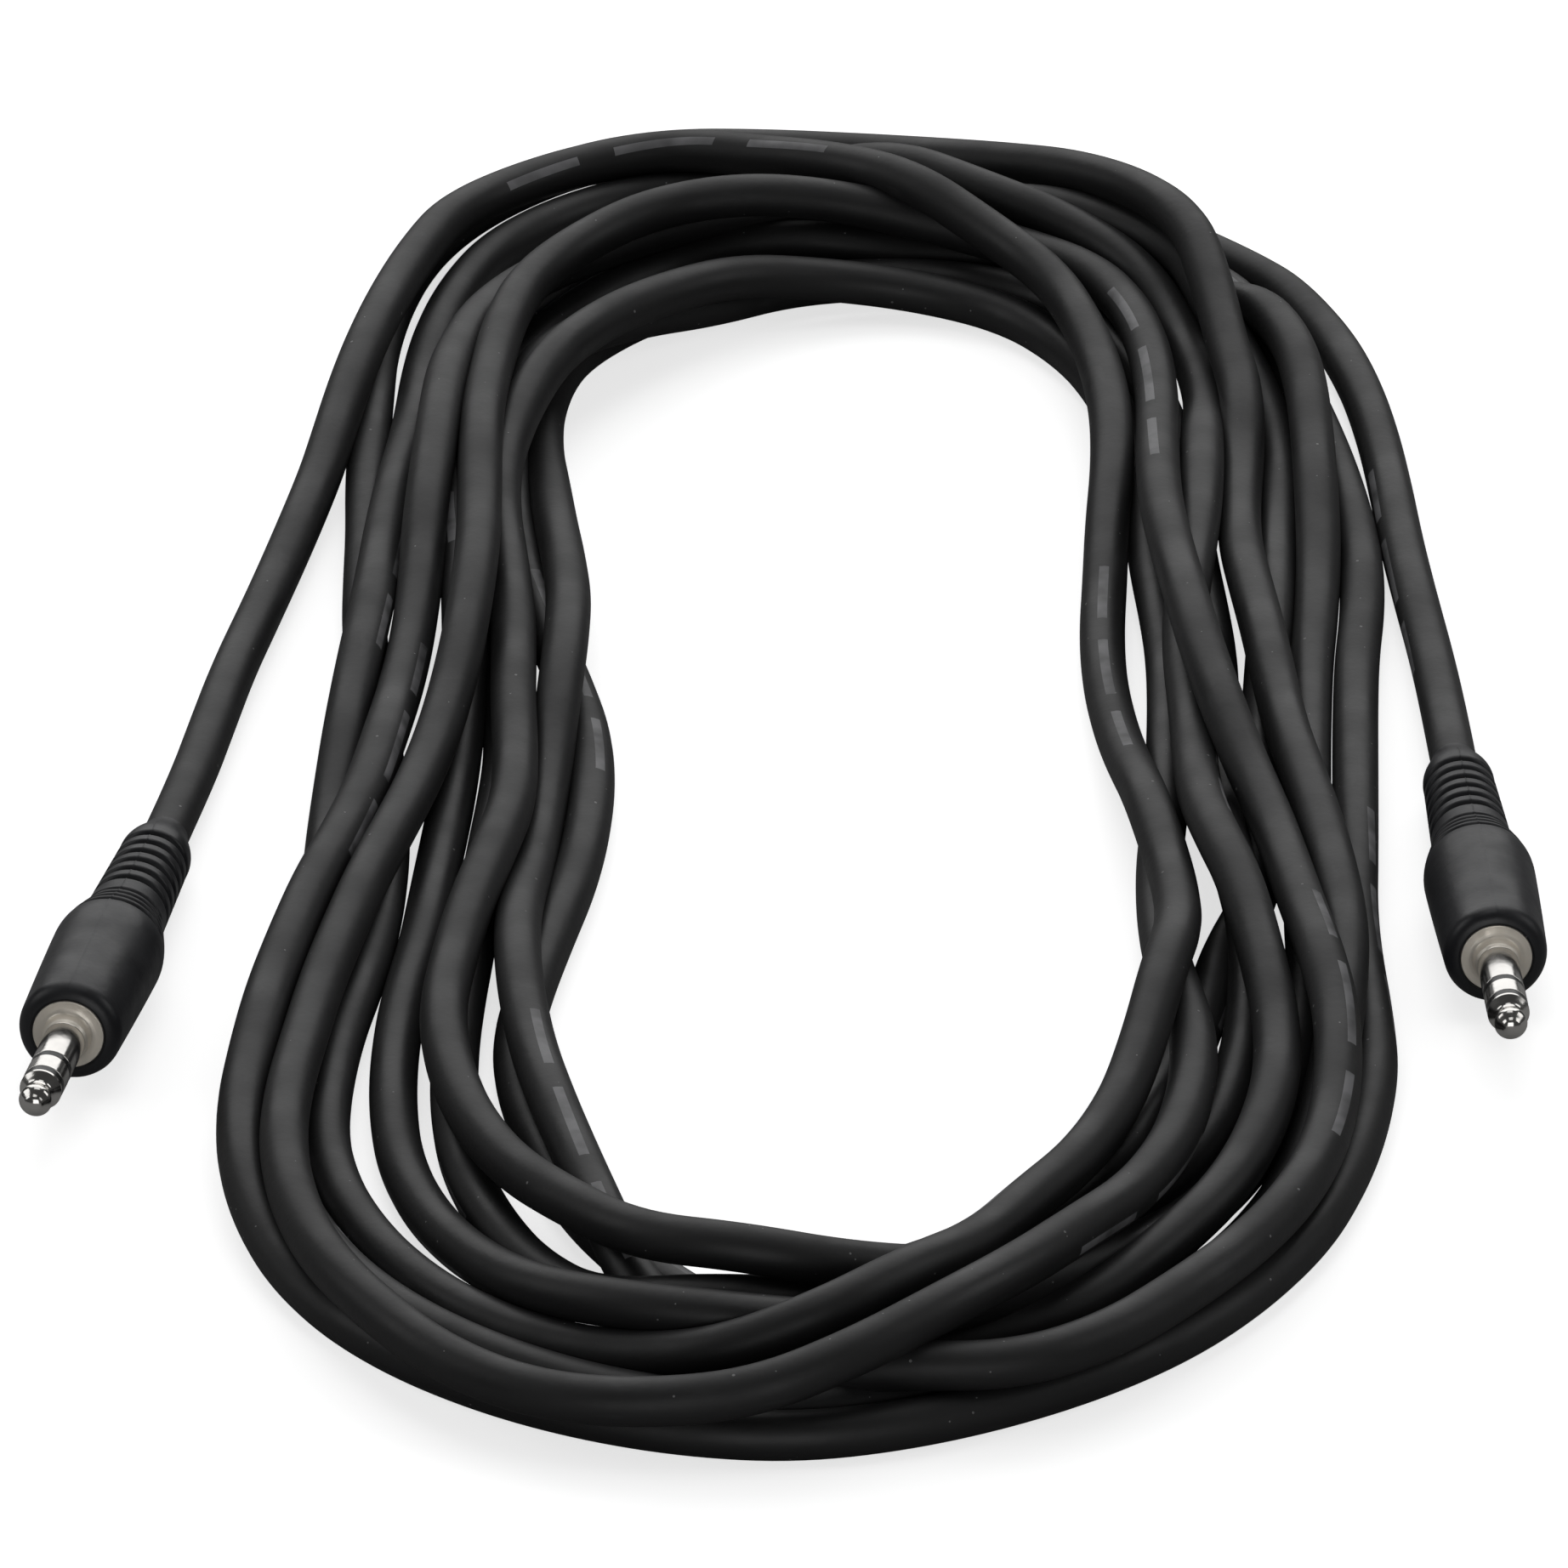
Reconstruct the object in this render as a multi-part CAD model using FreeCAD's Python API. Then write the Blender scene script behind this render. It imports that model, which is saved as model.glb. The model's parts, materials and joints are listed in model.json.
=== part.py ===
"""Wound audio cable: a long thin cable lying in a loose oval coil, with a moulded
3.5 mm three-pole plug on each end.

Frame: millimetres, +Z up. The origin is on the surface that the cable lies on, under the
middle of its outline. +Y runs along the coil, away from the plugs' noses.
"""

import FreeCAD, Part
import math
import os

from FreeCAD import Placement, Rotation, Vector

# ---------------------------------------------------------------- cable
CABLE_OD = 4.0
JACKET_WALL = 0.55
CORE_OD = 1.2
CONDUCTOR_OD = 0.45
SHIELD_OD = 0.7

# ---------------------------------------------------------------- plug: the contact pin
PIN_OD = 3.5
PIN_LENGTH = 14.0  # from the moulding's front face to the end of the nose
BOSS_OD = 3.9
BOSS_LENGTH = 1.5
SLEEVE_LENGTH = 5.4  # the bare sleeve in front of the boss
BAND_LENGTH = 0.75  # each black insulating band
RING_LENGTH = 2.1
SLEEVE_WALL = 0.5
RING_WALL = 0.2
OUTER_INSULATION = 0.3  # between sleeve and ring
INNER_INSULATION = 0.25  # between ring and tip stem
TIP_LAND = 0.3
TIP_NECK_OD = 2.2
TIP_NECK_AT = 1.0  # behind the tip's own start
TIP_BALL_OD = 2.7
TIP_BALL_AT = 1.9
TIP_BALL_FLANK = 0.35  # how far before and behind its middle the ball is rounded
TIP_BALL_REAR_DROP = 0.06
TIP_BALL_FRONT_DROP = 0.1
TIP_NOSE_RADIUS = 0.55

# ---------------------------------------------------------------- plug: behind the face
DISC_OD = 6.0
DISC_THICKNESS = 1.2
BARREL_OD = 4.6
BARREL_LENGTH = 5.0  # from the front face to the sleeve's rear end
LUG_THICKNESS = 0.5
WASHER_THICKNESS = 0.7
RIVET_LENGTH = 0.4
RIVET_RIM = 0.3  # how far the rivet head reaches out past the stem
GROUND_LUG_OD = 5.1
OUTER_WASHER_OD = 4.2
RING_LUG_OD = 4.2
INNER_WASHER_OD = 3.0
TIP_LUG_OD = 2.8
TAB_WIDTH = 1.5
TAB_THICKNESS = 0.35
TAB_LENGTH = 4.6
CLAMP_LENGTH = 3.0
CLAMP_SETBACK = 0.5  # from the jacket's cut end back to the clamp
CLAMP_OPENING = 70.0  # degrees left open round the jacket
JACKET_TO_FACE = 15.0  # from the jacket's cut end to the front face
CORE_GRIP = 3.0  # how far each core is modelled inside the jacket
CORE_LEAD = 0.6  # straight stretch of a core out of the jacket before it bends
SHIELD_LEAD = 0.4
SHIELD_RISE = 1.1  # length over which the shield rises to the strap
GROUND_JOINT_AHEAD = 3.4  # from the jacket's cut end to the ground joint
BARE_BEFORE_TAB = 0.3  # from a core's cut insulation to its tab
CONDUCTOR_INSET = 0.05  # how far the bare end starts inside the insulation
JOINT_INSET = 0.9  # from a tab's end to its joint
RING_TAB_ANGLE = 120.0  # round the plug's axis, from the ground strap
TIP_TAB_ANGLE = 240.0
SOLDER_RADIUS = 0.62
SOLDER_FILM = 0.08  # solder between a conductor and its tab
FIT = 0.01  # radial clearance of the pressed pieces

# ---------------------------------------------------------------- plug: mouldings
INNER_MOULD_OD = 6.4
INNER_MOULD_BACK = 4.0  # how far it reaches back over the jacket
MOULD_LENGTH = 40.0
COLLAR_WALL = 1.1  # the relief's end, round the cable
COLLAR_LENGTH = 5.2
COLLAR_EDGE = 0.35  # the broken edge at the exit
RELIEF_GROWTH = 0.35
RIB_COUNT = 6
RIB_PITCH = 1.95
RIB_GROOVE = 0.75
RIB_DEPTH = 0.7
RIB_DRAFT = 0.11  # slope of a groove's walls, along the axis
RIB_EDGE = 0.1
BAND_AFTER_RIBS = 0.3
BAND_TAPER = 0.05
SHOULDER_LENGTH = 6.5
FINE_GROOVES = 4
FINE_GROOVE = 0.35
FINE_DEPTH = 0.28
FINE_LIP = 0.05  # step of the shoulder across each fine groove
GRIP_REAR_OD = 9.5
GRIP_FRONT_OD = 8.7
RIM_RADIUS = 0.9
ROUND_STEPS = 5  # straight steps in each rounded end

# ---------------------------------------------------------------- how it lies
# Where each cable leaves its plug, and the way the plug points, in degrees from -Y
# towards +X. The plug rests on its collar and its shoulder, with its nose a little up.
PLUG_PITCH = 5.0
PLUGS = {
    "a": {"exit": (-53.4, -19.8), "heading": -8.9},
    "b": {"exit": (57.6, -6.7), "heading": 2.2},
}

# The coil: its middle line and half its width there, clockwise from the far end.
COIL = [
    (2.6, 99.6, 17.0),
    (18.5, 95.2, 14.2),
    (29.8, 84.6, 11.4),
    (36.9, 67.7, 11.1),
    (39.5, 49.8, 12.1),
    (39.4, 30.8, 13.0),
    (38.6, 12.8, 12.9),
    (39.0, -5.2, 12.0),
    (39.5, -24.2, 10.6),
    (39.8, -43.2, 10.0),
    (38.5, -62.2, 10.9),
    (33.6, -79.2, 11.7),
    (24.8, -92.0, 12.6),
    (12.9, -100.9, 12.8),
    (-1.4, -105.4, 11.8),
    (-16.0, -102.0, 13.4),
    (-25.9, -90.7, 14.0),
    (-31.5, -74.7, 14.2),
    (-32.8, -56.2, 13.1),
    (-30.7, -37.2, 12.2),
    (-28.4, -18.2, 12.4),
    (-27.9, 0.8, 11.8),
    (-28.5, 19.8, 11.1),
    (-29.6, 38.8, 10.5),
    (-30.2, 57.8, 10.4),
    (-26.0, 75.6, 13.2),
    (-18.6, 90.0, 17.0),
    (-9.0, 98.3, 18.6),
]
COIL_HEIGHT = 12.6
COIL_TOP_RADIUS = 3.6
COIL_FOOT_RADIUS = 1.2

# The two ends of the cable outside the coil: points after each plug's exit, which the
# cable's middle follows to where it runs in among the turns.
TAIL_A = [
    (-51.6, -8.4, 2.1),
    (-50.3, 1.2, 2.0),
    (-48.8, 11.8, 2.0),
    (-46.7, 23.0, 2.0),
    (-44.6, 34.4, 2.2),
    (-42.4, 45.6, 3.2),
    (-40.6, 56.4, 4.8),
    (-38.6, 67.0, 5.8),
    (-36.2, 77.4, 5.8),
    (-32.8, 87.4, 5.6),
]
TAIL_B = [
    (57.2, 4.5, 2.1),
    (56.6, 14.4, 2.0),
    (55.7, 25.0, 2.0),
    (54.9, 35.6, 2.0),
    (54.4, 46.0, 2.0),
    (53.7, 56.2, 2.0),
    (52.5, 66.2, 2.0),
    (50.4, 75.7, 2.0),
    (46.8, 85.0, 2.0),
    (41.8, 93.0, 2.0),
    (35.6, 99.2, 2.0),
    (28.2, 103.2, 2.0),
    (20.2, 104.6, 2.0),
]

# ---------------------------------------------------------------- worked out from these
CABLE_R = CABLE_OD / 2
COLLAR_R = CABLE_R + COLLAR_WALL
PIN_R = PIN_OD / 2
SLEEVE_BORE_R = PIN_R - SLEEVE_WALL
RING_TUBE_R = SLEEVE_BORE_R - OUTER_INSULATION
RING_BORE_R = RING_TUBE_R - RING_WALL
STEM_R = RING_BORE_R - INNER_INSULATION
FACE = MOULD_LENGTH

# Stations along the plug's axis, from the cable's exit (0) to the nose.
SLEEVE_END = FACE + BOSS_LENGTH + SLEEVE_LENGTH
BAND_1_END = SLEEVE_END + BAND_LENGTH
RING_END = BAND_1_END + RING_LENGTH
BAND_2_END = RING_END + BAND_LENGTH
NOSE = FACE + PIN_LENGTH
BARREL_BACK = FACE - BARREL_LENGTH
GROUND_BACK = BARREL_BACK - LUG_THICKNESS
WASHER_1_BACK = GROUND_BACK - WASHER_THICKNESS
RING_LUG_BACK = WASHER_1_BACK - LUG_THICKNESS
WASHER_2_BACK = RING_LUG_BACK - WASHER_THICKNESS
TIP_LUG_BACK = WASHER_2_BACK - LUG_THICKNESS
RIVET_BACK = TIP_LUG_BACK - RIVET_LENGTH
JACKET_END = FACE - JACKET_TO_FACE
INNER_MOULD_START = JACKET_END - INNER_MOULD_BACK
RIBS_END = COLLAR_LENGTH + RIB_COUNT * RIB_PITCH
SHOULDER_START = RIBS_END + BAND_AFTER_RIBS
SHOULDER_END = SHOULDER_START + SHOULDER_LENGTH

# The cores lie against the inside of the jacket, and end on their lugs' tabs.
LAY_R = CABLE_R - JACKET_WALL - CORE_OD / 2 - FIT
RING_TAB_BACK = RING_LUG_BACK - TAB_LENGTH
TIP_TAB_BACK = TIP_LUG_BACK - TAB_LENGTH
STRAP_TOP = max(GROUND_LUG_OD / 2, CABLE_R + TAB_THICKNESS)
STRAP_UNDER = STRAP_TOP - TAB_THICKNESS
GROUND_JOINT_X = JACKET_END + GROUND_JOINT_AHEAD
PIGTAIL_OUT = STRAP_UNDER - SOLDER_FILM - SHIELD_OD / 2


# ---------------------------------------------------------------- shapes
def turned(profile):
    """A solid of revolution about X from a closed outline of (x, radius) points."""
    corners = [Vector(x, 0, r) for x, r in profile]
    face = Part.Face(Part.makePolygon(corners + corners[:1]))
    return face.revolve(Vector(0, 0, 0), Vector(1, 0, 0), 360)


def tube(x_from, x_to, outer, inner=0.0):
    """A round tube, or a rod where inner is 0, along X."""
    rod = Part.makeCylinder(outer, x_to - x_from, Vector(x_from, 0, 0), Vector(1, 0, 0))
    if inner <= 0:
        return rod
    hole = Part.makeCylinder(inner, x_to - x_from, Vector(x_from, 0, 0), Vector(1, 0, 0))
    return rod.cut(hole)


def around_x(shape, degrees):
    """The shape turned about the plug's axis."""
    moved = shape.copy()
    moved.rotate(Vector(0, 0, 0), Vector(1, 0, 0), degrees)
    return moved


def rounded_wire(points, closed=False):
    """Straight runs joined by tangent arcs. Each arc's radius is 0.45 of the shorter run
    beside it, divided by the tangent of half the turn."""
    points = [Vector(*p) for p in points]
    count = len(points)
    corners = range(count) if closed else range(1, count - 1)
    cuts = {}
    radii = []
    for i in corners:
        before, here, after = points[i - 1], points[i], points[(i + 1) % count]
        back, ahead = before.sub(here), after.sub(here)
        half_turn = (math.pi - back.getAngle(ahead)) / 2
        trim = 0.45 * min(back.Length, ahead.Length)
        radius = trim / math.tan(half_turn)
        back.normalize()
        ahead.normalize()
        inward = back.add(ahead).normalize()
        middle = here.add(inward.multiply(radius / math.cos(half_turn) - radius))
        cuts[i] = (here.add(back.multiply(trim)), middle, here.add(ahead.multiply(trim)))
        radii.append(radius)
    edges = []
    legs = range(count) if closed else range(count - 1)
    for i in legs:
        j = (i + 1) % count
        start = cuts[i][2] if i in cuts else points[i]
        end = cuts[j][0] if j in cuts else points[j]
        edges.append(Part.LineSegment(start, end).toShape())
        if j in cuts:
            edges.append(Part.Arc(*cuts[j]).toShape())
    return Part.Wire(edges), radii


def swept(points, radius, name=""):
    """A round solid along a route, with its bend radii and volume printed if it is named."""
    wire, radii = rounded_wire(points)
    start = wire.Edges[0]
    section = Part.Wire(
        Part.makeCircle(
            radius, start.valueAt(start.FirstParameter), start.tangentAt(start.FirstParameter)
        )
    )
    solid = wire.makePipeShell([section], True, False)
    if name:
        print(
            f"{name}: length {wire.Length:.1f}, radii "
            + " ".join(f"{r:.0f}" for r in radii)
            + f", volume {solid.Volume:.1f} against {wire.Length * math.pi * radius**2:.1f}"
        )
    return solid


def slab(x_from, x_to, width, low, high):
    """A flat bar along X, its width along Y, between two heights."""
    return Part.makeBox(
        x_to - x_from, width, high - low, Vector(x_from, -width / 2, low)
    )


# ---------------------------------------------------------------- the plug's pieces
def quarter_round(centre_x, centre_r, radius):
    """Points of a quarter circle that turns from straight out to straight ahead."""
    turns = [step * math.pi / 2 / ROUND_STEPS for step in range(ROUND_STEPS + 1)]
    return [
        (centre_x + radius * math.sin(turn), centre_r + radius * math.cos(turn))
        for turn in turns
    ]


def tip_contact():
    """Nose, neck and the long stem that carries the tip's signal to the back."""
    start = BAND_2_END
    ball = start + TIP_BALL_AT
    ball_r = TIP_BALL_OD / 2
    return turned(
        [
            (RIVET_BACK, 0),
            (RIVET_BACK, STEM_R + RIVET_RIM),
            (TIP_LUG_BACK, STEM_R + RIVET_RIM),
            (TIP_LUG_BACK, STEM_R),
            (start, STEM_R),
            (start, PIN_R),
            (start + TIP_LAND, PIN_R),
            (start + TIP_NECK_AT, TIP_NECK_OD / 2),
            (ball - TIP_BALL_FLANK, ball_r - TIP_BALL_REAR_DROP),
            (ball, ball_r),
            (ball + TIP_BALL_FLANK, ball_r - TIP_BALL_FRONT_DROP),
        ]
        + quarter_round(NOSE - TIP_NOSE_RADIUS, 0, TIP_NOSE_RADIUS)
    )


def tip_insulator():
    """The front black band and the thin sleeve that it has inside the ring contact."""
    return turned(
        [
            (WASHER_2_BACK, STEM_R + FIT),
            (WASHER_2_BACK, RING_BORE_R - FIT),
            (RING_END, RING_BORE_R - FIT),
            (RING_END, PIN_R),
            (BAND_2_END, PIN_R),
            (BAND_2_END, STEM_R + FIT),
        ]
    )


def ring_contact():
    """The middle contact with the tube that reaches back to its lug."""
    return turned(
        [
            (RING_LUG_BACK, RING_BORE_R),
            (RING_LUG_BACK, RING_TUBE_R),
            (BAND_1_END, RING_TUBE_R),
            (BAND_1_END, PIN_R),
            (RING_END, PIN_R),
            (RING_END, RING_BORE_R),
        ]
    )


def ring_insulator():
    """The rear black band and its sleeve inside the sleeve contact."""
    return turned(
        [
            (WASHER_1_BACK, RING_TUBE_R + FIT),
            (WASHER_1_BACK, SLEEVE_BORE_R - FIT),
            (SLEEVE_END, SLEEVE_BORE_R - FIT),
            (SLEEVE_END, PIN_R),
            (BAND_1_END, PIN_R),
            (BAND_1_END, RING_TUBE_R + FIT),
        ]
    )


def sleeve_contact():
    """The ground contact: bare sleeve, boss, face disc and the barrel in the moulding."""
    return turned(
        [
            (BARREL_BACK, SLEEVE_BORE_R),
            (BARREL_BACK, BARREL_OD / 2),
            (FACE - DISC_THICKNESS, BARREL_OD / 2),
            (FACE - DISC_THICKNESS, DISC_OD / 2),
            (FACE, DISC_OD / 2),
            (FACE, BOSS_OD / 2),
            (FACE + BOSS_LENGTH, BOSS_OD / 2),
            (FACE + BOSS_LENGTH, PIN_R),
            (SLEEVE_END, PIN_R),
            (SLEEVE_END, SLEEVE_BORE_R),
        ]
    )


def ground_lug():
    """A washer behind the barrel, a strap and the clamp that is bent round the jacket."""
    outer = GROUND_LUG_OD / 2
    washer = tube(GROUND_BACK, BARREL_BACK, outer, SLEEVE_BORE_R)
    clamp_outer = CABLE_R + TAB_THICKNESS
    clamp_back = JACKET_END - CLAMP_LENGTH - CLAMP_SETBACK
    ring = tube(clamp_back, clamp_back + CLAMP_LENGTH, clamp_outer, CABLE_R)
    half = math.radians(CLAMP_OPENING / 2)
    reach = 2 * clamp_outer
    wedge = Part.Face(
        Part.makePolygon(
            [
                Vector(clamp_back, 0, 0),
                Vector(clamp_back, -reach * math.sin(half), -reach * math.cos(half)),
                Vector(clamp_back, reach * math.sin(half), -reach * math.cos(half)),
                Vector(clamp_back, 0, 0),
            ]
        )
    ).extrude(Vector(CLAMP_LENGTH, 0, 0))
    strap = slab(clamp_back, BARREL_BACK, TAB_WIDTH, STRAP_UNDER, STRAP_TOP)
    return washer.fuse([ring.cut(wedge), strap.cut(tube(0, FACE, CABLE_R))]).removeSplitter()


def lug(back, front, outer, bore, tab_from, tab_angle):
    """A washer with a solder tab that reaches back from its edge."""
    washer = tube(back, front, outer, bore)
    tab = slab(back - TAB_LENGTH, front, TAB_WIDTH, tab_from, outer)
    return around_x(washer.fuse(tab).removeSplitter(), tab_angle)


def ring_lug():
    outer = RING_LUG_OD / 2
    return lug(
        RING_LUG_BACK, WASHER_1_BACK, outer, RING_TUBE_R + FIT, outer - TAB_THICKNESS,
        RING_TAB_ANGLE,
    )


def tip_lug():
    outer = TIP_LUG_OD / 2
    return lug(
        TIP_LUG_BACK, WASHER_2_BACK, outer, STEM_R + FIT, outer - TAB_THICKNESS,
        TIP_TAB_ANGLE,
    )


def lug_washers():
    """The two insulating washers between the three lugs."""
    front = tube(WASHER_1_BACK, GROUND_BACK, OUTER_WASHER_OD / 2, SLEEVE_BORE_R + FIT)
    rear = tube(WASHER_2_BACK, RING_LUG_BACK, INNER_WASHER_OD / 2, RING_BORE_R + FIT)
    return Part.makeCompound([front, rear])


def core(angle, end_x, end_r):
    """An insulated core: straight in the jacket, then bent out to its lug's tab."""
    route = [
        (JACKET_END - CORE_GRIP, 0, LAY_R),
        (JACKET_END + CORE_LEAD, 0, LAY_R),
        (0.5 * (JACKET_END + end_x) + CORE_LEAD, 0, end_r),
        (end_x, 0, end_r),
    ]
    return around_x(swept(route, CORE_OD / 2), angle)


def joint_radius_out(lug_outer):
    """How far from the axis a conductor lies on its tab."""
    return lug_outer + SOLDER_FILM + CONDUCTOR_OD / 2


def conductor(angle, from_x, to_x, out):
    """The bare end of a core, lying on the outer side of a tab."""
    wire = Part.makeCylinder(
        CONDUCTOR_OD / 2, to_x - from_x, Vector(from_x, 0, out), Vector(1, 0, 0)
    )
    return around_x(wire, angle)


def signal_core(angle, lug_outer, tab_back):
    """One core with its bare conductor, from the jacket to its joint."""
    out = joint_radius_out(lug_outer)
    cut = tab_back - BARE_BEFORE_TAB
    covered = core(angle, cut, out)
    bare = conductor(angle, cut - CONDUCTOR_INSET, tab_back + JOINT_INSET, out)
    return covered.fuse(bare).removeSplitter()


def core_ring():
    return signal_core(RING_TAB_ANGLE, RING_LUG_OD / 2, RING_TAB_BACK)


def core_tip():
    return signal_core(TIP_TAB_ANGLE, TIP_LUG_OD / 2, TIP_TAB_BACK)


def shield_pigtail():
    """The twisted shield, led out of the jacket to the underside of the ground strap."""
    route = [
        (JACKET_END - CORE_GRIP, 0, LAY_R),
        (JACKET_END + SHIELD_LEAD, 0, LAY_R),
        (JACKET_END + SHIELD_LEAD + SHIELD_RISE, 0, PIGTAIL_OUT),
        (GROUND_JOINT_X, 0, PIGTAIL_OUT),
    ]
    return swept(route, SHIELD_OD / 2)


def solder_joints(others):
    """Three drops of solder, one on each lug, cut to the metal that they hold."""
    drops = []
    for angle, x, out in (
        (RING_TAB_ANGLE, RING_TAB_BACK + JOINT_INSET, joint_radius_out(RING_LUG_OD / 2)),
        (TIP_TAB_ANGLE, TIP_TAB_BACK + JOINT_INSET, joint_radius_out(TIP_LUG_OD / 2)),
        (0.0, GROUND_JOINT_X, PIGTAIL_OUT),
    ):
        drop = Part.makeSphere(SOLDER_RADIUS, Vector(x, 0, out))
        drops.append(biggest(around_x(drop, angle).cut(others)))
    return Part.makeCompound(drops)


def biggest(shape):
    """The largest solid of a cut shape."""
    return max(shape.Solids, key=lambda s: s.Volume)


def jacket_end():
    """The cable's last stretch, held in the moulding, open at its cut end."""
    bore = CABLE_R - JACKET_WALL
    return tube(0, JACKET_END, CABLE_R).cut(
        tube(JACKET_END - CORE_GRIP, JACKET_END, bore)
    )


def inner_mould(others):
    """The stiff first moulding, which fills the space round the lugs and joints."""
    body = tube(INNER_MOULD_START, FACE - DISC_THICKNESS, INNER_MOULD_OD / 2)
    return biggest(body.cut(others))


def rib_line(index):
    """One groove and the rib in front of it; the ribs grow towards the grip."""
    groove = COLLAR_LENGTH + index * RIB_PITCH
    rib = groove + RIB_GROOVE
    end = groove + RIB_PITCH
    floor = COLLAR_R + RELIEF_GROWTH * index / RIB_COUNT - RIB_DEPTH
    top = COLLAR_R + RELIEF_GROWTH * (index + 1) / RIB_COUNT
    return [
        (groove + RIB_DRAFT, floor),
        (rib - RIB_DRAFT, floor),
        (rib, top - RIB_EDGE),
        (rib + RIB_EDGE, top),
        (end - RIB_EDGE, top),
        (end, top - RIB_EDGE),
    ]


def overmould_outline():
    """The overmould's outer line from the cable's exit to the face, ribs and all."""
    neck = COLLAR_R + RELIEF_GROWTH
    grip = GRIP_REAR_OD / 2
    line = [
        (0, COLLAR_R - 2 * COLLAR_EDGE),
        (COLLAR_EDGE, COLLAR_R - COLLAR_EDGE),
        (COLLAR_LENGTH, COLLAR_R),
    ]
    for index in range(RIB_COUNT):
        line += rib_line(index)
    line += [(RIBS_END + RIB_EDGE, neck), (SHOULDER_START, neck + BAND_TAPER)]
    for index in range(1, FINE_GROOVES + 1):
        share = index / (FINE_GROOVES + 1)
        x = SHOULDER_START + share * SHOULDER_LENGTH
        r = neck + (grip - neck) * math.sin(share * math.pi / 2)
        line += [
            (x - FINE_GROOVE / 2, r - FINE_LIP),
            (x, r - FINE_DEPTH),
            (x + FINE_GROOVE / 2, r + FINE_LIP),
        ]
    line += [(SHOULDER_END, grip)]
    front = GRIP_FRONT_OD / 2
    return line + quarter_round(FACE - RIM_RADIUS, front - RIM_RADIUS, RIM_RADIUS)


def overmould(others):
    """The soft outer moulding: strain relief, shoulder and grip in one piece."""
    outline = overmould_outline()
    body = turned([(0, 0)] + outline + [(FACE, 0)])
    return biggest(body.cut(others))


def plug_pieces():
    """Every piece of one plug, along X with the cable's exit at 0."""
    pieces = {
        "tip_contact": tip_contact(),
        "tip_insulator": tip_insulator(),
        "ring_contact": ring_contact(),
        "ring_insulator": ring_insulator(),
        "sleeve_contact": sleeve_contact(),
        "ground_lug": ground_lug(),
        "ring_lug": ring_lug(),
        "tip_lug": tip_lug(),
        "lug_washers": lug_washers(),
        "jacket_end": jacket_end(),
        "core_ring": core_ring(),
        "core_tip": core_tip(),
        "shield_pigtail": shield_pigtail(),
    }
    wiring = [pieces[n] for n in pieces if n != "jacket_end"]
    pieces["solder_joints"] = solder_joints(wiring)
    pieces["inner_mould"] = inner_mould(list(pieces.values()))
    filled = tube(INNER_MOULD_START, FACE - DISC_THICKNESS, INNER_MOULD_OD / 2)
    pieces["overmould"] = overmould([filled, pieces["jacket_end"], pieces["sleeve_contact"]])
    return pieces


# ---------------------------------------------------------------- where things lie
def exit_height():
    """The height of the cable's exit above the surface, with the moulding resting on it."""
    pitch = math.radians(PLUG_PITCH)
    return max(r * math.cos(pitch) - x * math.sin(pitch) for x, r in overmould_outline())


def plug_placement(plug):
    """From the plug's own axis to where it lies."""
    turn = Rotation(Vector(0, 0, 1), plug["heading"] - 90)
    tip_up = Rotation(Vector(0, 1, 0), -PLUG_PITCH)
    x, y = plug["exit"]
    return Placement(Vector(x, y, exit_height()), turn.multiply(tip_up))


def outline_points(side):
    """The coil's outline at the surface, side +1 outside and -1 inside."""
    points = []
    for i, (x, y, half) in enumerate(COIL):
        x0, y0, _ = COIL[i - 1]
        x1, y1, _ = COIL[(i + 1) % len(COIL)]
        run = math.hypot(x1 - x0, y1 - y0)
        points.append(
            (x - side * half * (y1 - y0) / run, y + side * half * (x1 - x0) / run, 0)
        )
    return points


def coil():
    """One ring of the bundle's outer shape, with rounded shoulders."""
    outer, _ = rounded_wire(outline_points(1), closed=True)
    inner, _ = rounded_wire(outline_points(-1), closed=True)
    ring = Part.Face(outer).cut(Part.Face(inner)).extrude(Vector(0, 0, COIL_HEIGHT))
    top = [e for e in ring.Edges if e.BoundBox.ZMin > COIL_HEIGHT - 0.01]
    foot = [e for e in ring.Edges if e.BoundBox.ZMax < 0.01]
    return ring.makeFillet(COIL_TOP_RADIUS, top).makeFillet(COIL_FOOT_RADIUS, foot)


def tail(plug, points, ring, name):
    """The cable from a plug's exit to the coil, ending on the coil's side."""
    x, y = plug["exit"]
    whole = swept([(x, y, exit_height())] + points, CABLE_R, name)
    return biggest(whole.cut(ring))


def build():
    """Every node by name."""
    nodes = {"coil_turns": coil()}
    ring = nodes["coil_turns"]
    nodes["cable_end_a"] = tail(PLUGS["a"], TAIL_A, ring, "cable_end_a")
    nodes["cable_end_b"] = tail(PLUGS["b"], TAIL_B, ring, "cable_end_b")
    pieces = plug_pieces()
    for letter, plug in PLUGS.items():
        place = plug_placement(plug)
        for name, shape in pieces.items():
            placed = shape.copy()
            placed.Placement = place.multiply(placed.Placement)
            nodes[f"plug_{letter}_{name}"] = placed
    return nodes


def main():
    os.makedirs("parts", exist_ok=True)
    nodes = build()
    for name, shape in nodes.items():
        shape.exportStep(f"parts/{name}.step")
    box = Part.makeCompound(list(nodes.values())).BoundBox
    print(f"{len(nodes)} nodes, box {box}")


main()
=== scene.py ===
import json
import math

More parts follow.
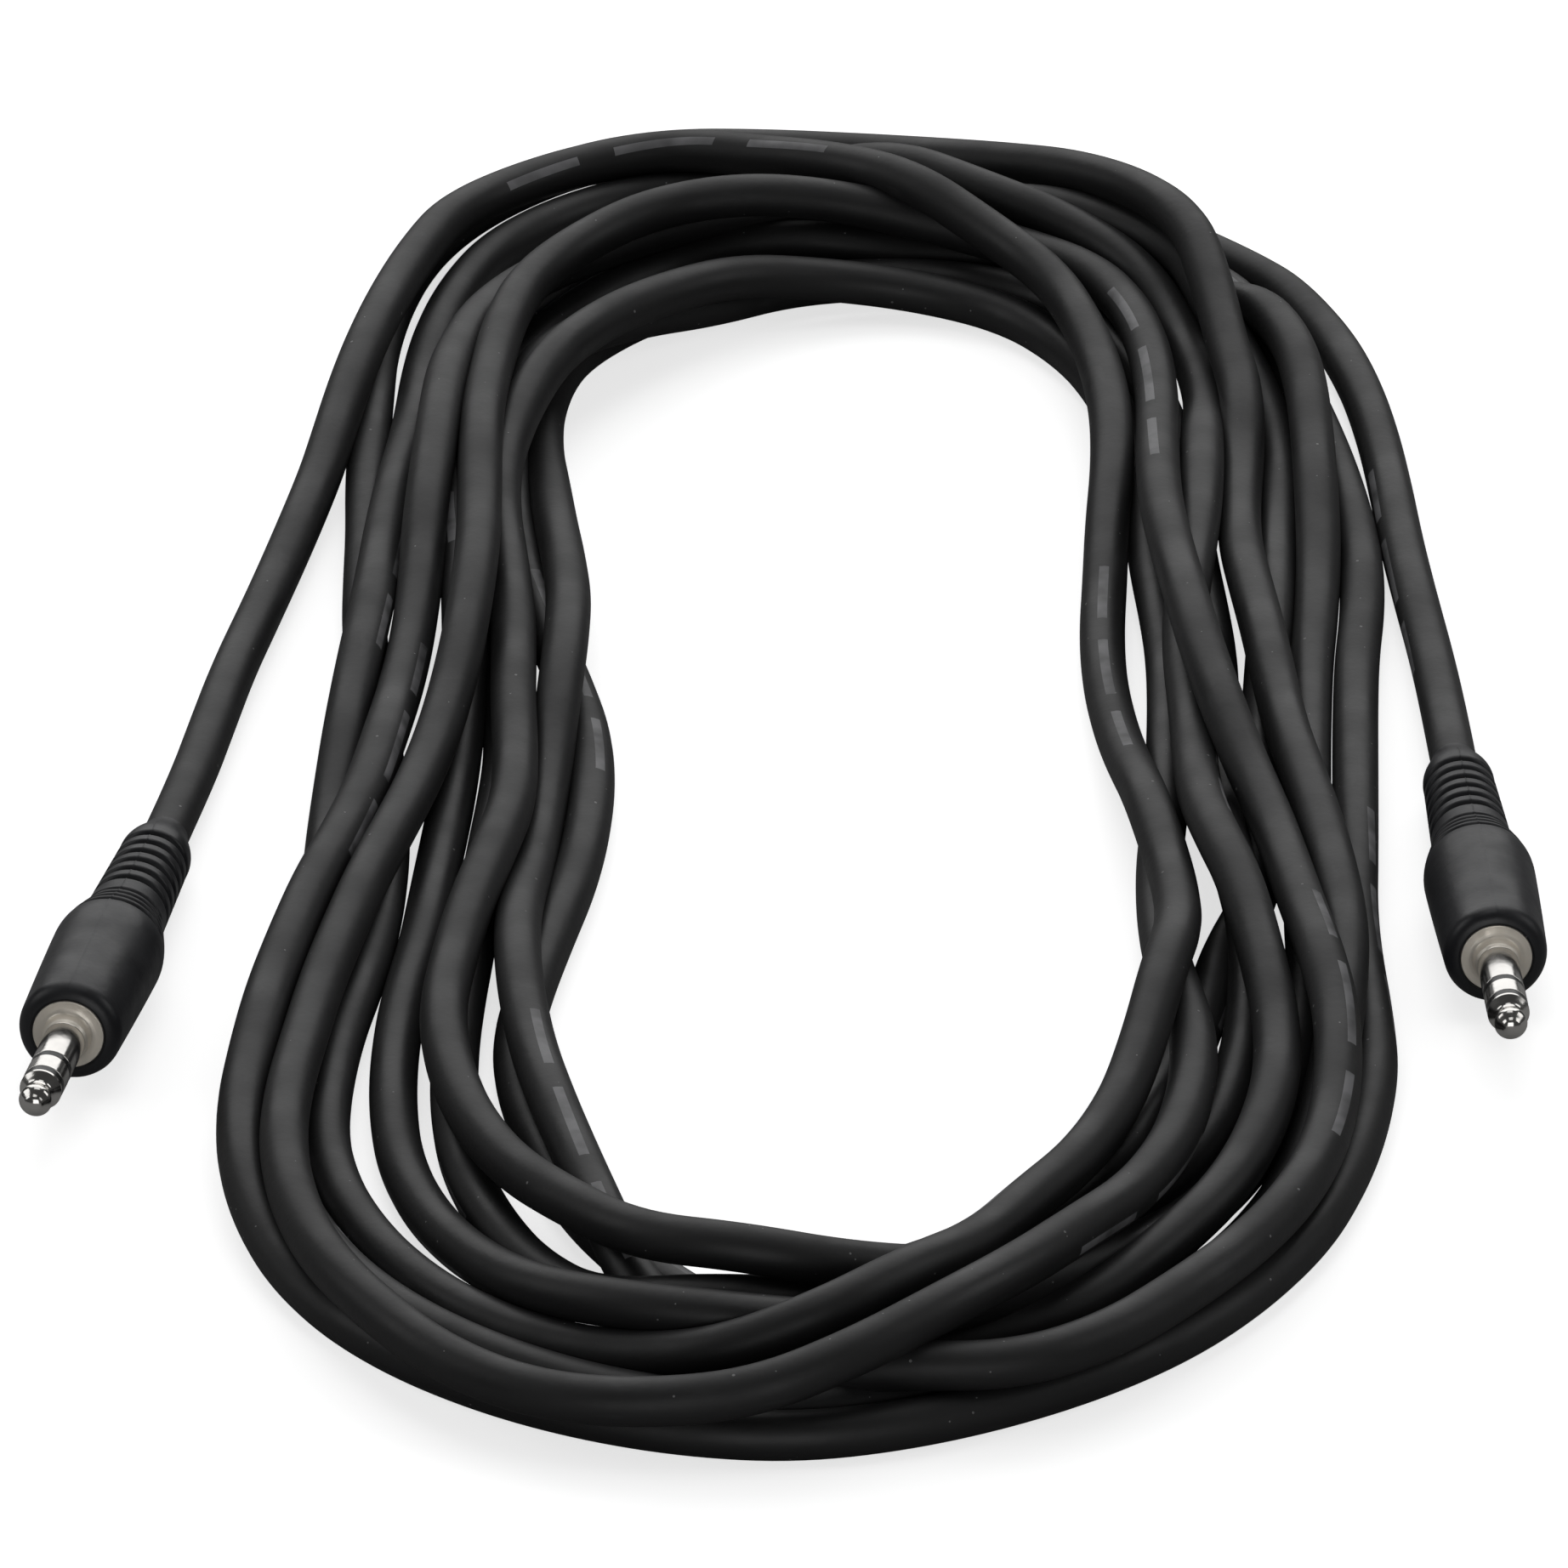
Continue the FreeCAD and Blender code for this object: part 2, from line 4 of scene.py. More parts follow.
import bpy
import numpy as np
from bpy.props import FloatProperty, FloatVectorProperty, IntProperty, PointerProperty
from bpy.types import Operator, Panel, PropertyGroup
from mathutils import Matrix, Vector


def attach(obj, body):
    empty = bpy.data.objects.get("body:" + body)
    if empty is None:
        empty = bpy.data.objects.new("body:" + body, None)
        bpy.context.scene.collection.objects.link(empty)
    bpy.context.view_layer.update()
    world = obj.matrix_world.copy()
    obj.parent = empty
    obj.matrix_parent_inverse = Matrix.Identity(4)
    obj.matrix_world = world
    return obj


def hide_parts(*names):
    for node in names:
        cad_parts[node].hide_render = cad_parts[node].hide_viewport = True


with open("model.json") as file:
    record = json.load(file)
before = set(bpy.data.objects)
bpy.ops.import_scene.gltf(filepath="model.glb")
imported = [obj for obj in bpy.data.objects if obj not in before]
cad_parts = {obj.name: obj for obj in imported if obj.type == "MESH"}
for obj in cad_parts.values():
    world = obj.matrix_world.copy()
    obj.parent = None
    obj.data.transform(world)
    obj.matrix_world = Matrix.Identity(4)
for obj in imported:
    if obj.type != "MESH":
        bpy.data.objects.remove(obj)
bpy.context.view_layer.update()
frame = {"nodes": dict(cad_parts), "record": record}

bl_info = {
    "name": "Coiled Audio Cable",
    "version": (1, 0, 0),
    "blender": (4, 5, 0),
    "location": "3D View > Sidebar > Audio Cable",
    "description": "Lays a long audio cable in its loose coil and dresses both moulded plugs",
    "category": "Object",
}

MM = 0.001
RECORD = frame["record"]

# ---------------------------------------------------------------- where things lie
# Each plug's axis comes from the mount on its pin. Its middle is this far from the
# cable's exit, and the axis points out of the nose.
EXIT_TO_PIN_MIDDLE = 46.15 * MM
PLUGS = ("a", "b")

# The route's points from each plug's exit to the coil, which the cable's middle follows.
TAIL_A = [
    (-0.0516, -0.0084, 0.0021),
    (-0.0503, 0.0012, 0.0020),
    (-0.0488, 0.0118, 0.0020),
    (-0.0467, 0.0230, 0.0020),
    (-0.0446, 0.0344, 0.0022),
    (-0.0424, 0.0456, 0.0032),
]
TAIL_B = [
    (0.0572, 0.0045, 0.0021),
    (0.0566, 0.0144, 0.0020),
    (0.0557, 0.0250, 0.0020),
    (0.0549, 0.0356, 0.0020),
    (0.0544, 0.0460, 0.0020),
    (0.0537, 0.0562, 0.0020),
    (0.0525, 0.0662, 0.0020),
    (0.0504, 0.0757, 0.0020),
    (0.0468, 0.0850, 0.0020),
]

# The coil's middle line, clockwise from the far end. These stations, the lanes and levels
# below and the tails above are numbers that a separate computation made: it settled a
# path from traced points, and read off its middle line, its place at each station and its
# ends. They are rounded, and some were changed a little.
STATIONS = [
    (0.0026, 0.0996),
    (0.0185, 0.0952),
    (0.0298, 0.0846),
    (0.0369, 0.0677),
    (0.0395, 0.0498),
    (0.0394, 0.0308),
    (0.0386, 0.0128),
    (0.0390, -0.0052),
    (0.0395, -0.0242),
    (0.0398, -0.0432),
    (0.0385, -0.0622),
    (0.0336, -0.0792),
    (0.0248, -0.0920),
    (0.0129, -0.1009),
    (-0.0014, -0.1054),
    (-0.0160, -0.1020),
    (-0.0259, -0.0907),
    (-0.0315, -0.0747),
    (-0.0328, -0.0562),
    (-0.0307, -0.0372),
    (-0.0284, -0.0182),
    (-0.0279, 0.0008),
    (-0.0285, 0.0198),
    (-0.0296, 0.0388),
    (-0.0302, 0.0578),
    (-0.0260, 0.0756),
    (-0.0186, 0.0900),
    (-0.0090, 0.0983),
]

# How each turn wanders over the middle line: its lane at each station, in millimetres
# outward, and how high it is laid there, in cord radii over the surface. Every turn
# starts at the far end, except the first, which comes in at station FIRST_STATION.
FIRST_STATION = 24
TURNS = [
    ([10, 11, 14, 11], "2222"),
    ([-1, -7, -7, -9, -10, -11, -11, -10, -8, -7, -9, -9, -8, -2,
      3, 1, 4, 6, 5, 4, 6, 8, 9, 8, 8, 12, 16, 18], "3322200123322330000000000000"),
    ([15, 8, 7, 3, 1, 1, 3, 4, 6, 7, 6, 6, 6, 6,
      6, 5, 8, 10, 9, 9, 11, 10, 8, 6, 4, 7, 10, 9], "0343312222100000000002220000"),
    ([3, -1, 3, 1, -2, -3, -4, -4, -4, -1, 2, 3, 3, 0,
      -4, -11, -12, -12, -10, -10, -11, -10, -7, -5, -5, -9, -14, -15],
     "2320222233221000000000001100"),
    ([-12, -8, -4, -4, -4, -3, -1, -2, -2, -1, -2, -4, -7, -7,
      -7, -8, -8, -6, -4, -4, -5, -4, -4, -3, -7, -12, -16, -17],
     "0000000021000133322222122322"),
    ([-16, -12, -9, -8, -8, -7, -5, -6, -8, -8, -5, -3, -1, 4,
      10, 12, 12, 10, 7, 6, 4, 1, -1, -2, -3, -2, -5, -9],
     "1000000001223431222222443344"),
    ([-8, -4, -2, -4, -6, -6, -4, -2, 2, 4, 7, 9, 10, 11,
      1, -8, -12, -13, -11, -8, -7, -8, -9, -8, -7, -7, -11, -11],
     "3222234323322311222201200000"),
    ([-7, 3, 7, 6, 5, 4, 4, 2, 1, -4, -7, -9, -11, -11,
      -6, -4, -5, -5, -5, -4, -3, -3, -1, -1, -2, -2, -4, -7],
     "0221000000000021000000000000"),
    ([-8, -2, 6, 9, 8, 8, 7, 6, 5, 4, 3, 1, -1, 1,
      -1, -1, -1, 0, 0, 1, 1, 0, 0, 0, 0, 1, 0, -3],
     "1013200000001222000001222000"),
    ([-1, 4, 9, 9, 10, 12, 11, 10, 8, 8, 9, 10, 10, 10,
      9, 9, 12, 13, 11, 10, 8, 6, 4, 2, 0, 1, -3, -7],
     "0000000000000110012222244222"),
    ([-5, 12], "20"),
]

# How the turns settle, round by round: a free point's drop, and the share of it that is
# left once EARLY_ROUNDS of the rounds are over, the pull back to its lane, the evening out
# of its height, the gap kept between two strands in diameters, how far past half the lack
# they are pushed, and the share of a push along each axis. Pairs of points that lie near
# each other, in diameters, are looked for again after some rounds.
DROP = 0.06 * MM
EARLY_ROUNDS = 0.7
LATE_DROP = 0.4
LANE_PULL = 0.12
STIFFNESS = 0.45
STRAND_GAP = 1.03
OVERSHOOT = 1.3
PUSH_SHARES = (0.6, 0.6, 1.0)
PAIRS_WITHIN = 1.75
PAIRS_EVERY = 10

# The round section: its swell over the lay of the cores, and that lay's length.
SWELL = 0.006
LAY_LENGTH = 38 * MM

# The lamps, all facing the middle of the floor: power, width and place.
LAMPS = {
    "back_lamp": ("back_light", 1.4, (0, 0.85, 0.7)),
    "left_lamp": ("side_light", 0.5, (-0.8, -0.05, 0.5)),
    "right_lamp": ("side_light", 0.5, (0.8, -0.05, 0.5)),
    "front_lamp": ("front_light", 0.6, (0, -0.95, 0.16)),
    "top_lamp": ("top_light", 0.5, (0, 0, 1)),
}

# ---------------------------------------------------------------- the plug's stations
# Distances along the plug's axis from the cable's exit, then the moulding's lengths, its
# fine grooves' count and depth, its flash line's height, and radii, in millimetres.
FACE = 40.0
INNER_START = FACE - 19.0
DISC_BACK = FACE - 1.2
BARREL_BACK = FACE - 5.0
WASHER_1_BACK = FACE - 6.2
RING_LUG_BACK = FACE - 6.7
WASHER_2_BACK = FACE - 7.4
TIP_LUG_BACK = FACE - 7.9
RIVET_BACK = FACE - 8.3
BOSS_END = FACE + 1.5
SLEEVE_END = FACE + 6.9
BAND_1_END = FACE + 7.65
RING_END = FACE + 9.75
BAND_2_END = FACE + 10.5
NOSE = FACE + 14.0
COLLAR_END = 5.2
BAND_AFTER_RIBS = 0.3
SHOULDER_RUN = 6.5
FINE_GROOVES = 4
FINE_DEPTH = 0.34
FLASH_HEIGHT = 0.05
CABLE_LIP_R = 2.03
JACKET_R = 2.0
FACE_LIP_R = 3.2
DISC_R = 3.0
BARREL_R = 2.3
BOSS_R = 1.93
PIN_R = 1.75
BAND_R = 1.73
SLEEVE_BORE_R = 1.25
RING_TUBE_R = 0.95
RING_BORE_R = 0.75
STEM_R = 0.5
RIVET_R = 0.8
INNER_MOULD_R = 3.2
SLIP = 0.01
INNER_NODES = (
    "ground_lug", "ring_lug", "tip_lug", "lug_washers", "jacket_end",
    "core_ring", "core_tip", "shield_pigtail", "solder_joints", "inner_mould",
)


# ---------------------------------------------------------------- what a user may change
class CordSizes(PropertyGroup):
    """The cable itself and how finely it is drawn."""

    diameter: FloatProperty(
        name="Diameter", description="Outer diameter of the jacket",
        default=4.0 * MM, min=1.0 * MM, precision=4, unit="LENGTH",
    )
    length: FloatProperty(
        name="Length", description="Length of the cable between its two plugs",
        default=4.66, precision=3, unit="LENGTH",
    )
    ring_pitch: FloatProperty(
        name="Ring pitch", description="Distance between the rings of the jacket's mesh",
        default=1.22 * MM, precision=5, unit="LENGTH",
    )
    sides: IntProperty(
        name="Sides", description="Faces round the jacket", default=24, min=8,
    )
    laying_rounds: IntProperty(
        name="Laying rounds", description="Steps in which the turns settle on each other",
        default=300, min=1,
    )
    print_pitch: FloatProperty(
        name="Print pitch", description="Distance from one printed group to the next",
        default=0.118, precision=3, unit="LENGTH",
    )


class PlugSizes(PropertyGroup):
    """The outer moulding of each plug, in millimetres."""

    collar_radius: FloatProperty(
        name="Collar radius", description="Radius of the relief behind its ribs", default=3.1,
    )
    relief_growth: FloatProperty(
        name="Relief growth", description="How much the relief grows along its ribs",
        default=0.35,
    )
    rib_count: IntProperty(name="Ribs", description="Ribs on the strain relief", default=6)
    rib_pitch: FloatProperty(
        name="Rib pitch", description="Distance between two ribs", default=1.95,
    )
    rib_depth: FloatProperty(
        name="Rib depth", description="Depth of the grooves between the ribs", default=0.7,
    )
    grip_rear_radius: FloatProperty(
        name="Grip rear radius", description="Radius where the shoulder ends", default=4.75,
    )
    grip_front_radius: FloatProperty(
        name="Grip front radius", description="Radius behind the rounded rim", default=4.35,
    )
    rim_radius: FloatProperty(
        name="Rim radius", description="Rounding of the grip's front rim", default=1.25,
    )


class Finishes(PropertyGroup):
    """Colours and roughness of the finishes."""

    jacket_colour: FloatVectorProperty(
        name="Jacket", description="Colour of the cable's jacket", subtype="COLOR",
        default=(0.0125, 0.0125, 0.013), min=0, max=1,
    )
    grip_colour: FloatVectorProperty(
        name="Grip", description="Colour of the plugs' outer moulding", subtype="COLOR",
        default=(0.0125, 0.013, 0.0155), min=0, max=1,
    )
    nickel_colour: FloatVectorProperty(
        name="Nickel", description="Colour of the pin's contacts", subtype="COLOR",
        default=(0.80, 0.78, 0.75), min=0, max=1,
    )
    disc_colour: FloatVectorProperty(
        name="Face disc", description="Colour of the warmer metal round the pin's foot",
        subtype="COLOR", default=(0.95, 0.89, 0.79), min=0, max=1,
    )
    jacket_roughness: FloatProperty(
        name="Jacket roughness", description="Mean roughness of the jacket", default=0.5,
        min=0, max=1, subtype="FACTOR",
    )
    grip_roughness: FloatProperty(
        name="Grip roughness", description="Mean roughness of the grips", default=0.4,
        min=0, max=1, subtype="FACTOR",
    )


class StageSizes(PropertyGroup):
    """The camera's place and the studio."""

    camera_aside: FloatProperty(
        name="Camera aside", description="How far to the right of the middle it stands",
        default=-0.4 * MM, precision=4, unit="LENGTH",
    )
    camera_distance: FloatProperty(
        name="Camera distance", description="How far in front of the middle the camera stands",
        default=0.9289, precision=4, unit="LENGTH",
    )
    camera_height: FloatProperty(
        name="Camera height", description="The camera's height over the floor",
        default=0.512, precision=4, unit="LENGTH",
    )
    camera_dip: FloatProperty(
        name="Camera dip", description="How far the camera looks down",
        default=math.radians(29.0), subtype="ANGLE",
    )
    lens: FloatProperty(
        name="Lens", description="Focal length in millimetres on a 36 mm wide sensor",
        default=279.5,
    )
    floor_size: FloatProperty(
        name="Floor size", description="Width of the plain floor", default=6.0,
        unit="LENGTH",
    )
    back_light: FloatProperty(
        name="Back light", description="Power of the large lamp behind", default=7.5,
    )
    side_light: FloatProperty(
        name="Side lights", description="Power of the lamps at both sides", default=0.9,
    )
    front_light: FloatProperty(
        name="Front light", description="Power of the low lamp in front", default=1.6,
    )
    top_light: FloatProperty(
        name="Top light", description="Power of the lamp overhead", default=0.7,
    )
    sky: FloatProperty(
        name="Sky", description="Strength of the even light from all round", default=0.045,
    )


# ---------------------------------------------------------------- surfaces
def grid_piece(name, grid, uv=None, round_trip=False, sharp=40.0):
    """A closed mesh from a grid of points, rows along the piece and columns round it.

    The columns always close on themselves. With round_trip the last row joins the
    first, as on a ring, and otherwise each end row is closed by a fan to its middle.
    The faces are turned outwards if the volume comes out negative: the volume is a
    sixth of the sum of each triangle's first corner dotted with the cross product of
    the other two."""
    rows, columns = grid.shape[:2]
    points = grid.reshape(-1, 3)
    i = np.arange(rows if round_trip else rows - 1)[:, None]
    j = np.arange(columns)[None, :]
    after, beside = (i + 1) % rows, (j + 1) % columns
    quads = np.stack(
        [i * columns + j, after * columns + j, after * columns + beside,
         i * columns + beside], -1
    ).reshape(-1, 4)
    fans = np.empty((0, 3), int)
    if not round_trip:
        first = len(points)
        points = np.vstack([points, grid[0].mean(0), grid[-1].mean(0)])
        ring, following = j.ravel(), beside.ravel()
        last_row = (rows - 1) * columns
        fans = np.vstack([
            np.stack([np.full(columns, first), ring, following], -1),
            np.stack(
                [np.full(columns, first + 1), last_row + following, last_row + ring], -1
            ),
        ])
    triangles = np.vstack([quads[:, :3], quads[:, [0, 2, 3]], fans])
    corner = points[triangles] - points.mean(0)
    volume = np.einsum("ij,ij->i", corner[:, 0], np.cross(corner[:, 1], corner[:, 2])).sum()
    if volume < 0:
        quads, fans = quads[:, ::-1], fans[:, ::-1]
    mesh = bpy.data.meshes.new(name)
    mesh.from_pydata(points.tolist(), [], quads.tolist() + fans.tolist())
    mesh.polygons.foreach_set("use_smooth", np.ones(len(mesh.polygons), bool))
    mesh.set_sharp_from_angle(angle=math.radians(sharp))
    if uv is not None:
        add_lay_map(mesh, uv, rows, columns)
    mesh.update()
    piece = bpy.data.objects.new(name, mesh)
    bpy.context.scene.collection.objects.link(piece)
    return piece


def add_lay_map(mesh, uv, rows, columns):
    """A UV map from each vertex's value. Where a face crosses the seam, the corners at
    the start of the round are moved on by one, so the map runs on without a jump."""
    corners = np.empty(len(mesh.loops), int)
    mesh.loops.foreach_get("vertex_index", corners)
    whole = np.vstack([uv.reshape(-1, 2), uv[0, :1], uv[-1, :1]])
    values = whole[np.minimum(corners, len(whole) - 1)]
    starts = np.empty(len(mesh.polygons), int)
    totals = np.empty(len(mesh.polygons), int)
    mesh.polygons.foreach_get("loop_start", starts)
    mesh.polygons.foreach_get("loop_total", totals)
    face = np.repeat(np.arange(len(starts)), totals)
    high = np.zeros(len(starts))
    np.maximum.at(high, face, values[:, 1])
    crosses = (high[face] > 0.75) & (values[:, 1] < 0.25)
    values[:, 1] += crosses
    layer = mesh.uv_layers.new(name="lay")
    layer.data.foreach_set("uv", values.astype(np.float32).ravel())


def softened(outline, radius, steps=4):
    """A closed outline with each corner rounded.

    Each corner is left at a distance along both its edges, the radius or three tenths
    of the shorter edge, and the two ends are joined by a quadratic curve whose control
    point is the corner. One more point beside each end keeps the flats flat."""
    edge_share, beyond = 0.3, 1.45
    corner = np.array(outline, float)
    before, after = np.roll(corner, 1, 0), np.roll(corner, -1, 0)
    back, ahead = before - corner, after - corner
    back_run = np.linalg.norm(back, axis=1, keepdims=True)
    ahead_run = np.linalg.norm(ahead, axis=1, keepdims=True)
    trim = np.minimum(radius, edge_share * np.minimum(back_run, ahead_run))
    start, end = corner + back / back_run * trim, corner + ahead / ahead_run * trim
    u = np.linspace(0, 1, steps + 1)[None, :, None]
    curve = (
        (1 - u) ** 2 * start[:, None] + 2 * u * (1 - u) * corner[:, None]
        + u**2 * end[:, None]
    )
    lead = (corner + back / back_run * trim * beyond)[:, None]
    trail = (corner + ahead / ahead_run * trim * beyond)[:, None]
    return np.concatenate([lead, curve, trail], 1).reshape(-1, 2)


def turned(outline, plug, columns=72):
    """The grid of a surface of revolution: each outline point, a distance along the
    plug's axis and a radius, is carried round the axis in equal angles."""
    angle = np.linspace(0, 2 * math.pi, columns, endpoint=False)
    line = np.asarray(outline, float)
    radius = np.repeat(line[:, 1:], columns, 1)
    return on_plug(np.repeat(line[:, :1], columns, 1), radius, angle[None, :], plug)


def on_plug(along, radius, angle, plug):
    """Points at a distance along the plug's axis, a radius, and an angle from its top,
    in millimetres, carried to where the plug lies, in metres."""
    origin, axis, side, top = plug
    return (
        origin
        + along[..., None] * MM * axis
        + (radius * np.sin(angle))[..., None] * MM * side
        + (radius * np.cos(angle))[..., None] * MM * top
    )


def plug_frame(letter):
    """The plug's exit point and its axis, side and top directions, from its pin mount."""
    mount = next(m for m in RECORD["mounts"] if m["name"] == f"pin_{letter}")
    axis = np.array(mount["axis"]) / np.linalg.norm(mount["axis"])
    side = np.cross(axis, (0.0, 0.0, 1.0))
    side /= np.linalg.norm(side)
    return np.array(mount["pos_m"]) - EXIT_TO_PIN_MIDDLE * axis, axis, side, np.cross(side, axis)


def blend(low, high, value):
    """A smooth step: 0 below low, 1 above high, and 3t^2 - 2t^3 between them."""
    t = np.clip((value - low) / (high - low), 0, 1)
    return t * t * (3 - 2 * t)


# ---------------------------------------------------------------- the cable's route
def coil_points(radius):
    """The turns' points, worked out turn by turn from their lanes and levels."""
    middle = np.array(STATIONS)
    run = np.roll(middle, -1, 0) - np.roll(middle, 1, 0)
    run /= np.linalg.norm(run, axis=1, keepdims=True)
    outward = np.stack([-run[:, 1], run[:, 0]], 1)
    turns = []
    for number, (lanes, levels) in enumerate(TURNS):
        first = FIRST_STATION if number == 0 else 0
        station = (first + np.arange(len(lanes))) % len(middle)
        place = middle[station] + outward[station] * np.array(lanes)[:, None] * MM
        height = radius + radius * np.array([int(level) for level in levels])
        turns.append(np.column_stack([place, height]))
    return np.vstack(turns)


def through(points, parts):
    """A smooth line through the points: between two of them, a cubic whose slope at
    each is half the way from its neighbour behind to its neighbour ahead."""
    padded = np.vstack([2 * points[0] - points[1], points, 2 * points[-1] - points[-2]])
    a, b, c, d = (padded[k : len(padded) - 3 + k, None] for k in range(4))
    u = (np.arange(parts) / parts)[None, :, None]
    line = 0.5 * (
        2 * b + (c - a) * u + (2 * a - 5 * b + 4 * c - d) * u**2
        + (3 * b - a - 3 * c + d) * u**3
    )
    return np.vstack([line.reshape(-1, points.shape[1]), points[-1:]])


def evenly(points, step):
    """The line again with its points one step apart, and each one's distance along it."""
    run = np.concatenate([[0], np.cumsum(np.linalg.norm(np.diff(points, axis=0), axis=1))])
    along = np.linspace(0, run[-1], int(round(run[-1] / step)) + 1)
    return np.column_stack([np.interp(along, run, points[:, k]) for k in range(3)]), along


def settled(line, free, diameter, step, rounds):
    """The cable's line after it has come to rest on the surface and on itself.

    Each round lowers every free point a little, evens out the heights and the sideways
    shifts along the cable as its stiffness does, draws it back towards its lane, and
    pushes apart any two points that lie nearer than the gap, half the lack each and a
    little more. The push is the mean over all the points that crowd one."""
    clearance = STRAND_GAP * diameter
    lane = line[:, :2].copy()
    start = line.copy()
    apart = int(3 * diameter / step) + 1
    shares = np.array(PUSH_SHARES)
    for number in range(rounds):
        if number % PAIRS_EVERY == 0:
            gaps = ((line[:, None] - line[None]) ** 2).sum(2)
            one, other = np.nonzero(np.triu(gaps < (PAIRS_WITHIN * diameter) ** 2, apart))
        line[:, 2] -= DROP if number < EARLY_ROUNDS * rounds else LATE_DROP * DROP
        height = line[:, 2]
        height[1:-1] += STIFFNESS * (0.5 * (height[:-2] + height[2:]) - height[1:-1])
        shift = line[:, :2] - lane
        shift[1:-1] = 0.5 * shift[1:-1] + 0.25 * (shift[:-2] + shift[2:])
        line[:, :2] = lane + shift * (1 - LANE_PULL)
        for _ in range(2):
            between = line[one] - line[other]
            distance = np.linalg.norm(between, axis=1)
            close = distance < clearance
            lack = 0.5 * (clearance - distance[close]) / distance[close]
            push = lack[:, None] * between[close] * shares
            total, count = np.zeros_like(line), np.full(len(line), 1e-9)
            for ends, sign in ((one[close], 1), (other[close], -1)):
                np.add.at(total, ends, sign * push)
                np.add.at(count, ends, 1)
            line += OVERSHOOT * total / np.maximum(count, 1)[:, None]
            line[:, 2] = np.maximum(line[:, 2], diameter / 2)
            line[~free] = start[~free]
    return line


def route(sizes):
    """The cord's control points: each tail's points, and the turns between them.

    The turns settle as points one step apart, and every third of these is kept."""
    parts, step, keep = 8, 3 * MM, 3
    exits = {letter: plug_frame(letter)[0] for letter in PLUGS}
    head = np.vstack([exits["a"], TAIL_A])
    foot = np.vstack([np.array(TAIL_B)[::-1], exits["b"]])
    fine = through(np.vstack([head, coil_points(sizes.diameter / 2), foot]), parts)
    line, along = evenly(fine, step)
    whole = np.linalg.norm(np.diff(fine, axis=0), axis=1)
    head_run = whole[: parts * (len(head) - 1)].sum()
    foot_run = whole[-parts * (len(foot) - 1) :].sum()
    free = (along > head_run) & (along < along[-1] - foot_run)
    line[:, 2] = np.maximum(line[:, 2], sizes.diameter / 2)
    line = settled(line, free, sizes.diameter, step, sizes.laying_rounds)
    return np.vstack([head, line[free][1:-1:keep], foot])


def spline_line(control):
    """The points of a smooth NURBS spline that has these control points."""
    curve = bpy.data.curves.new("cable_route", "CURVE")
    curve.dimensions = "3D"
    curve.resolution_u = 10
    spline = curve.splines.new("NURBS")
    spline.points.add(len(control) - 1)
    spline.points.foreach_set("co", np.column_stack([control, np.ones(len(control))]).ravel())
    spline.order_u = 3
    spline.use_endpoint_u = True
    holder = bpy.data.objects.new("cable_route", curve)
    bpy.context.scene.collection.objects.link(holder)
    bpy.context.view_layer.update()
    mesh = bpy.data.meshes.new_from_object(holder)
    points = np.empty(len(mesh.vertices) * 3)
    mesh.vertices.foreach_get("co", points)
    bpy.data.objects.remove(holder)
    bpy.data.curves.remove(curve)
    bpy.data.meshes.remove(mesh)
    return points.reshape(-1, 3)


def tube_grid(line, along, radius, sides):
    """A round section carried along the line.

    At each point the section lies square to the line. Its first direction is the part
    of straight up that is square to the line, and its second is square to both. The
    jacket swells and thins by about a hundredth of a millimetre over the lay of the
    cores. The map's first value is the distance along, in metres, and the second goes
    from 0 to 1 round the jacket."""
    heading = np.gradient(line, axis=0)
    heading /= np.linalg.norm(heading, axis=1, keepdims=True)
    top = np.array([0.0, 0.0, 1.0]) - heading * heading[:, 2:]
    top /= np.linalg.norm(top, axis=1, keepdims=True)
    side = np.cross(heading, top)
    angle = np.linspace(0, 2 * math.pi, sides, endpoint=False)
    lay = 2 * math.pi * along[:, None] / LAY_LENGTH
    swell = 1 + SWELL * np.cos(2 * angle[None, :] - lay)
    ring = (
        np.cos(angle)[None, :, None] * top[:, None]
        + np.sin(angle)[None, :, None] * side[:, None]
    )
    grid = line[:, None] + radius * swell[..., None] * ring
    turn = np.repeat(angle[None, :] / (2 * math.pi), len(line), 0)
    return grid, np.stack([np.repeat(along[:, None], sides, 1), turn], -1)


